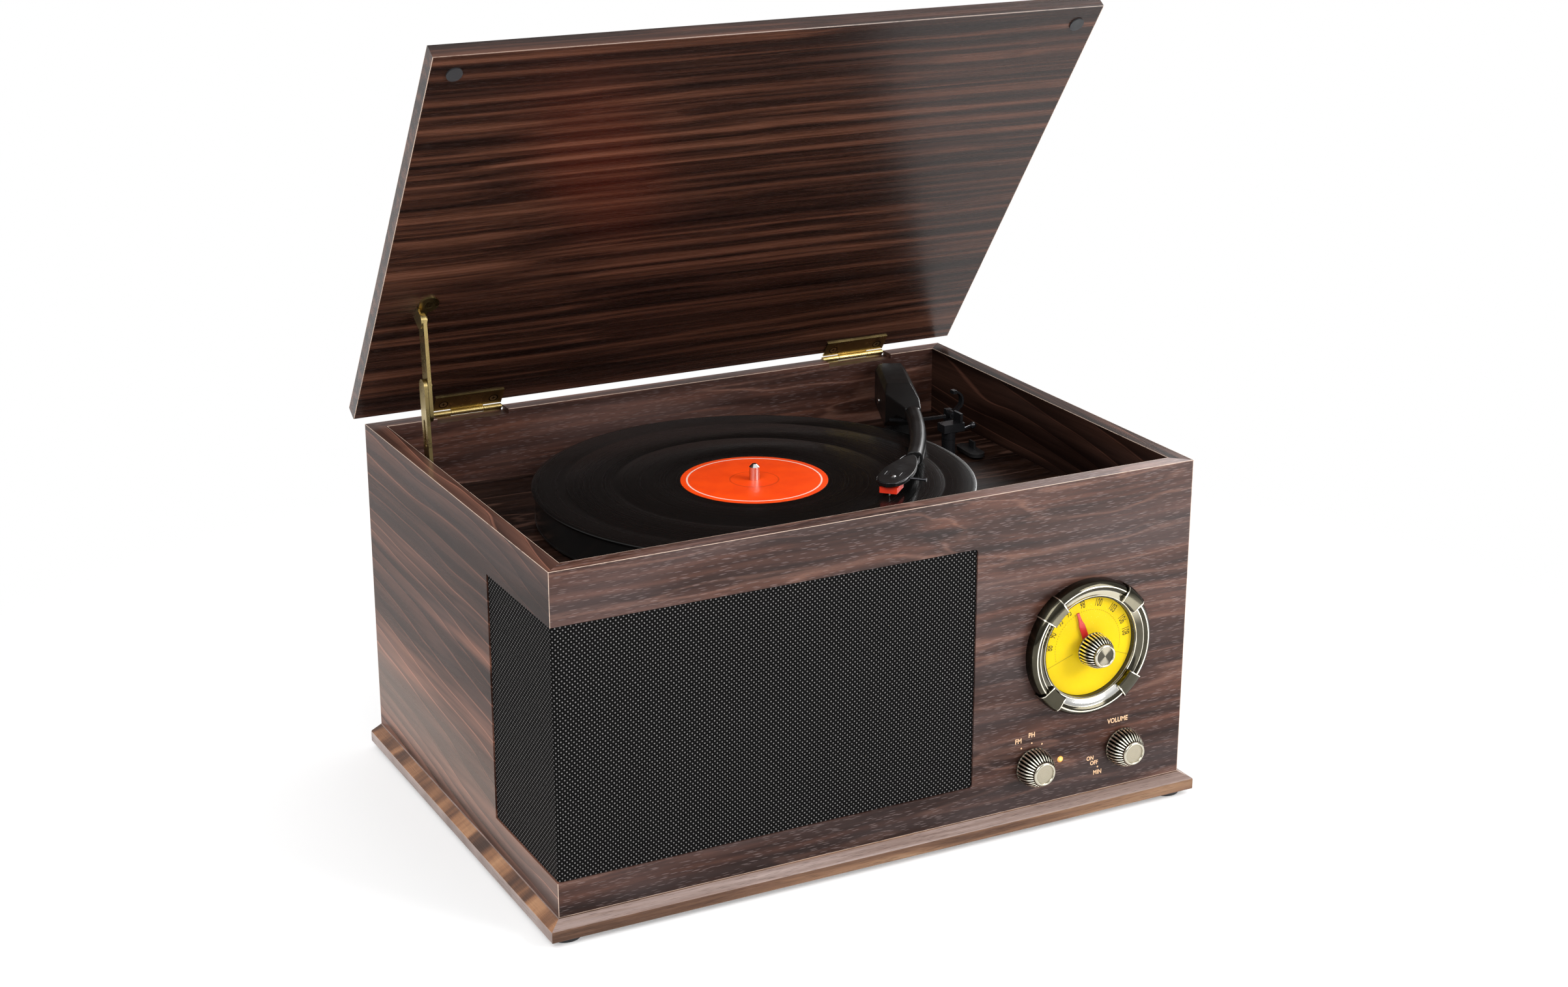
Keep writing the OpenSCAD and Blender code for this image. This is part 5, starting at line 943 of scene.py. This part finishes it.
def disc_face(name, centre, tone, painted_bow_tie=False):
    """A turned disc: fine rings, and on the tuning knob a painted bow-tie reflection of light and dark."""
    p = Paint(name, tone, 1.0, 0.3)
    xyz = p.parts_from(centre)
    r = p.away(xyz[0], xyz[2])
    rings = p.noise(p.node("ShaderNodeCombineXYZ", {"X": p.times(r, 3000.0)}).outputs[0], 3.0, 0.7)
    colour = p.mix(rings, tuple(c * 0.75 for c in tone), tone)
    if painted_bow_tie:
        # Painted reflection: a bow-tie of light and dark across the disc
        angle = p.calc("ARCTAN2", xyz[2], xyz[0])
        wave = p.calc("COSINE", p.times(p.calc("SUBTRACT", angle, 1.45), 2.0))
        colour = p.mix(p.span(wave, -0.2, 0.75), tuple(c * 0.16 for c in tone), colour)
    p.set("Base Color", colour)
    p.set("Roughness", p.span(rings, 0.3, 0.7, 0.22, 0.4, False))
    p.bump(rings, 0.25, 0.00004)
    return p.m


tune_disc = disc_face("tuning_disc", DIAL, (0.24, 0.22, 0.17), True)
knob("tuning_knob", "tuning_turn", 11.8, 7.6, 6.3, 7.9, 23.6, 28, "antique_chrome", tune_disc)
for side in ("selector", "volume"):
    disc = disc_face(side + "_disc", place(side + "_turn"), (0.42, 0.38, 0.29))
    knob(side + "_knob", side + "_turn", 13.4, 7.9, 6.5, 0.6, 16.5, 30, "champagne_chrome", disc)

point_box = low("dial_pointer"), high("dial_pointer")
pointer = Shape(dial)
# Where the pointer stands in the photograph
POINTER_DEG = 111
p_in, p_out = FRONT - point_box[1].y, FRONT - point_box[0].y
outline = [(6.6, -2.3), (17.0, -2.2), (20.5, -1.2), (25.6, -0.85), (26.7, -1.2), (26.9, 0.0), (26.7, 1.2), (25.6, 0.85),
           (20.5, 1.2), (17.0, 2.2), (6.6, 2.3)]
pointer.prism(outline, p_in + 0.05, p_out, 0, Matrix.Rotation(math.radians(POINTER_DEG), 4, "Z"))
pointer.lathe([(3.2, p_in), (7.0, p_in), (7.0, p_out - 0.15), (6.85, p_out), (3.2, p_out), (3.2, p_in)], 64)
pointer.piece("dial_pointer_red", joints["tuning_turn"]["child"], "red_plastic", [pointer_red], smooth=35,
              replaces=["dial_pointer"])

for name, text, x, z, size in (("print_volume", "VOLUME", 178.4, 64.6, 4.9), ("print_min", "MIN", 163.6, 29.2, 4.4),
                               ("print_on", "ON", 157.3, 40.4, 4.2), ("print_off", "OFF", 160.6, 36.6, 4.2),
                               ("print_fm", "FM", 99.4, 64.8, 4.9), ("print_ph", "PH", 109.8, 67.4, 4.9)):
    lettering(name, text, on_front(x, z) @ Matrix.Translation((0, 0, 0.02)), size, 0.86, print_gold,
              0.10)
dots = Shape()
for x, z in ((101.9, 59.4), (110.0, 61.6), (118.1, 59.4), (163.6, 33.2)):
    dots.lathe([(0, 0.03), (0.6, 0.03), (0.6, 0.0)], 16, at=on_front(x, z))
dots.piece("print_dots", "root", "cabinet_wood", [print_gold], smooth=30)

# ---------------------------------------------------------------- camera, light and floor

# Solved from the photograph's corners: place from the cabinet's middle, and aim
CAMERA = Vector((-746.352, -1455.137, 758.303))
LENS, YAW_DEG, PITCH_DEG = 58.24, -27.485, -18.726
cam_data = bpy.data.cameras.new("camera")
cam = shown("camera", cam_data)
cam_data.sensor_width, cam_data.sensor_fit, cam_data.lens = 36.0, "HORIZONTAL", LENS
cam_data.clip_start, cam_data.clip_end = 0.05, 50.0
yaw, pitch = math.radians(YAW_DEG), math.radians(PITCH_DEG)
cam.location = (CAMERA + Vector((0, MID_Y, 0))) * MM
look = Vector((-math.sin(yaw) * math.cos(pitch), math.cos(yaw) * math.cos(pitch), math.sin(pitch)))
cam.rotation_mode = "QUATERNION"
cam.rotation_quaternion = look.to_track_quat("-Z", "Y")
bpy.context.scene.camera = cam

world = bpy.data.worlds.new("studio")
bpy.context.scene.world = world
world.use_nodes = True
wt = world.node_tree


def sky_node(kind, ins):
    n = wt.nodes.new(kind)
    for key, value in ins.items():
        if isinstance(value, bpy.types.NodeSocket):
            wt.links.new(value, n.inputs[key])
        else:
            n.inputs[key].default_value = value
    return n


# Brighter above and darker below for light and gloss, and plain white behind the part
height = sky_node("ShaderNodeSeparateXYZ", {0: sky_node("ShaderNodeTexCoord", {}).outputs["Generated"]})
level = sky_node("ShaderNodeMapRange", {"Value": height.outputs["Z"], "From Min": 0.05, "From Max": 0.75,
                                        "To Min": 0.42, "To Max": 1.05})
sky = sky_node("ShaderNodeBackground", {"Color": (1, 1, 1, 1), "Strength": level.outputs[0]})
plain = sky_node("ShaderNodeBackground", {"Color": (1, 1, 1, 1), "Strength": 1.0})
seen = sky_node("ShaderNodeLightPath", {}).outputs["Is Camera Ray"]
both = sky_node("ShaderNodeMixShader", {0: seen, 1: sky.outputs[0], 2: plain.outputs[0]})
wt.links.new(both.outputs[0], wt.nodes["World Output"].inputs["Surface"])


def softbox(name, at, aim, size, watts, lights=True, tint=(1.0, 1.0, 1.0)):
    """An area light in metres; without lights it only shows in gloss."""
    data = bpy.data.lights.new(name, "AREA")
    data.shape, data.size, data.size_y, data.energy = "RECTANGLE", size[0], size[1], watts
    data.color = tint
    obj = shown(name, data)
    obj.location = at
    obj.rotation_mode = "QUATERNION"
    obj.rotation_quaternion = (Vector(aim) - Vector(at)).to_track_quat("-Z", "Y")
    obj.visible_camera = False
    obj.visible_diffuse = lights


softbox("key", (-1.7, -1.5, 2.1), (0, 0, 0.2), (1.6, 1.6), 45.0)
softbox("front", (1.15, -1.45, 1.1), (0.05, 0, 0.15), (1.0, 1.0), 33.0)
softbox("sheen_left", (-0.265, 0.15, 0.004), (-0.265, 0.15, 1.0), (0.040, 1.0), 0.24, False, (1.0, 0.80, 0.68))
softbox("back_right", (1.5, 0.9, 1.3), (0.1, 0, 0.2), (0.9, 0.9), 42.0, False)
softbox("sheen_right", (0.62, -0.80, 0.004), (0.62, -0.80, 1.0), (0.7, 0.7), 8.0, False)

FAR_EDGE, UNDER = 6, -0.0005
floor = bpy.data.meshes.new("floor")
floor.from_pydata([(x * FAR_EDGE, y * FAR_EDGE, UNDER) for x, y in ((-1, -1), (1, -1), (1, 1), (-1, 1))], [],
                  [(0, 1, 2, 3)])
floor_obj = shown("floor", floor)
# The floor fades to plain white away from the part, for the camera only
fp = Paint("floor_paint", (0.95, 0.95, 0.95), rough=0.9, spec=0.1)
far = fp.node("ShaderNodeVectorMath", {0: fp.where}, operation="LENGTH").outputs["Value"]
seen = fp.node("ShaderNodeLightPath").outputs["Is Camera Ray"]
white = fp.node("ShaderNodeEmission", {"Color": (1, 1, 1), "Strength": 1.0}).outputs[0]
fade = fp.times(seen, fp.span(far, 0.25, 0.75, 0.3, 1.0))
blend = fp.node("ShaderNodeMixShader", {0: fade, 1: fp.b.outputs[0], 2: white}).outputs[0]
fp.t.links.new(blend, fp.t.nodes["Material Output"].inputs["Surface"])
floor.materials.append(fp.m)

bpy.context.scene.view_settings.view_transform = "Standard"
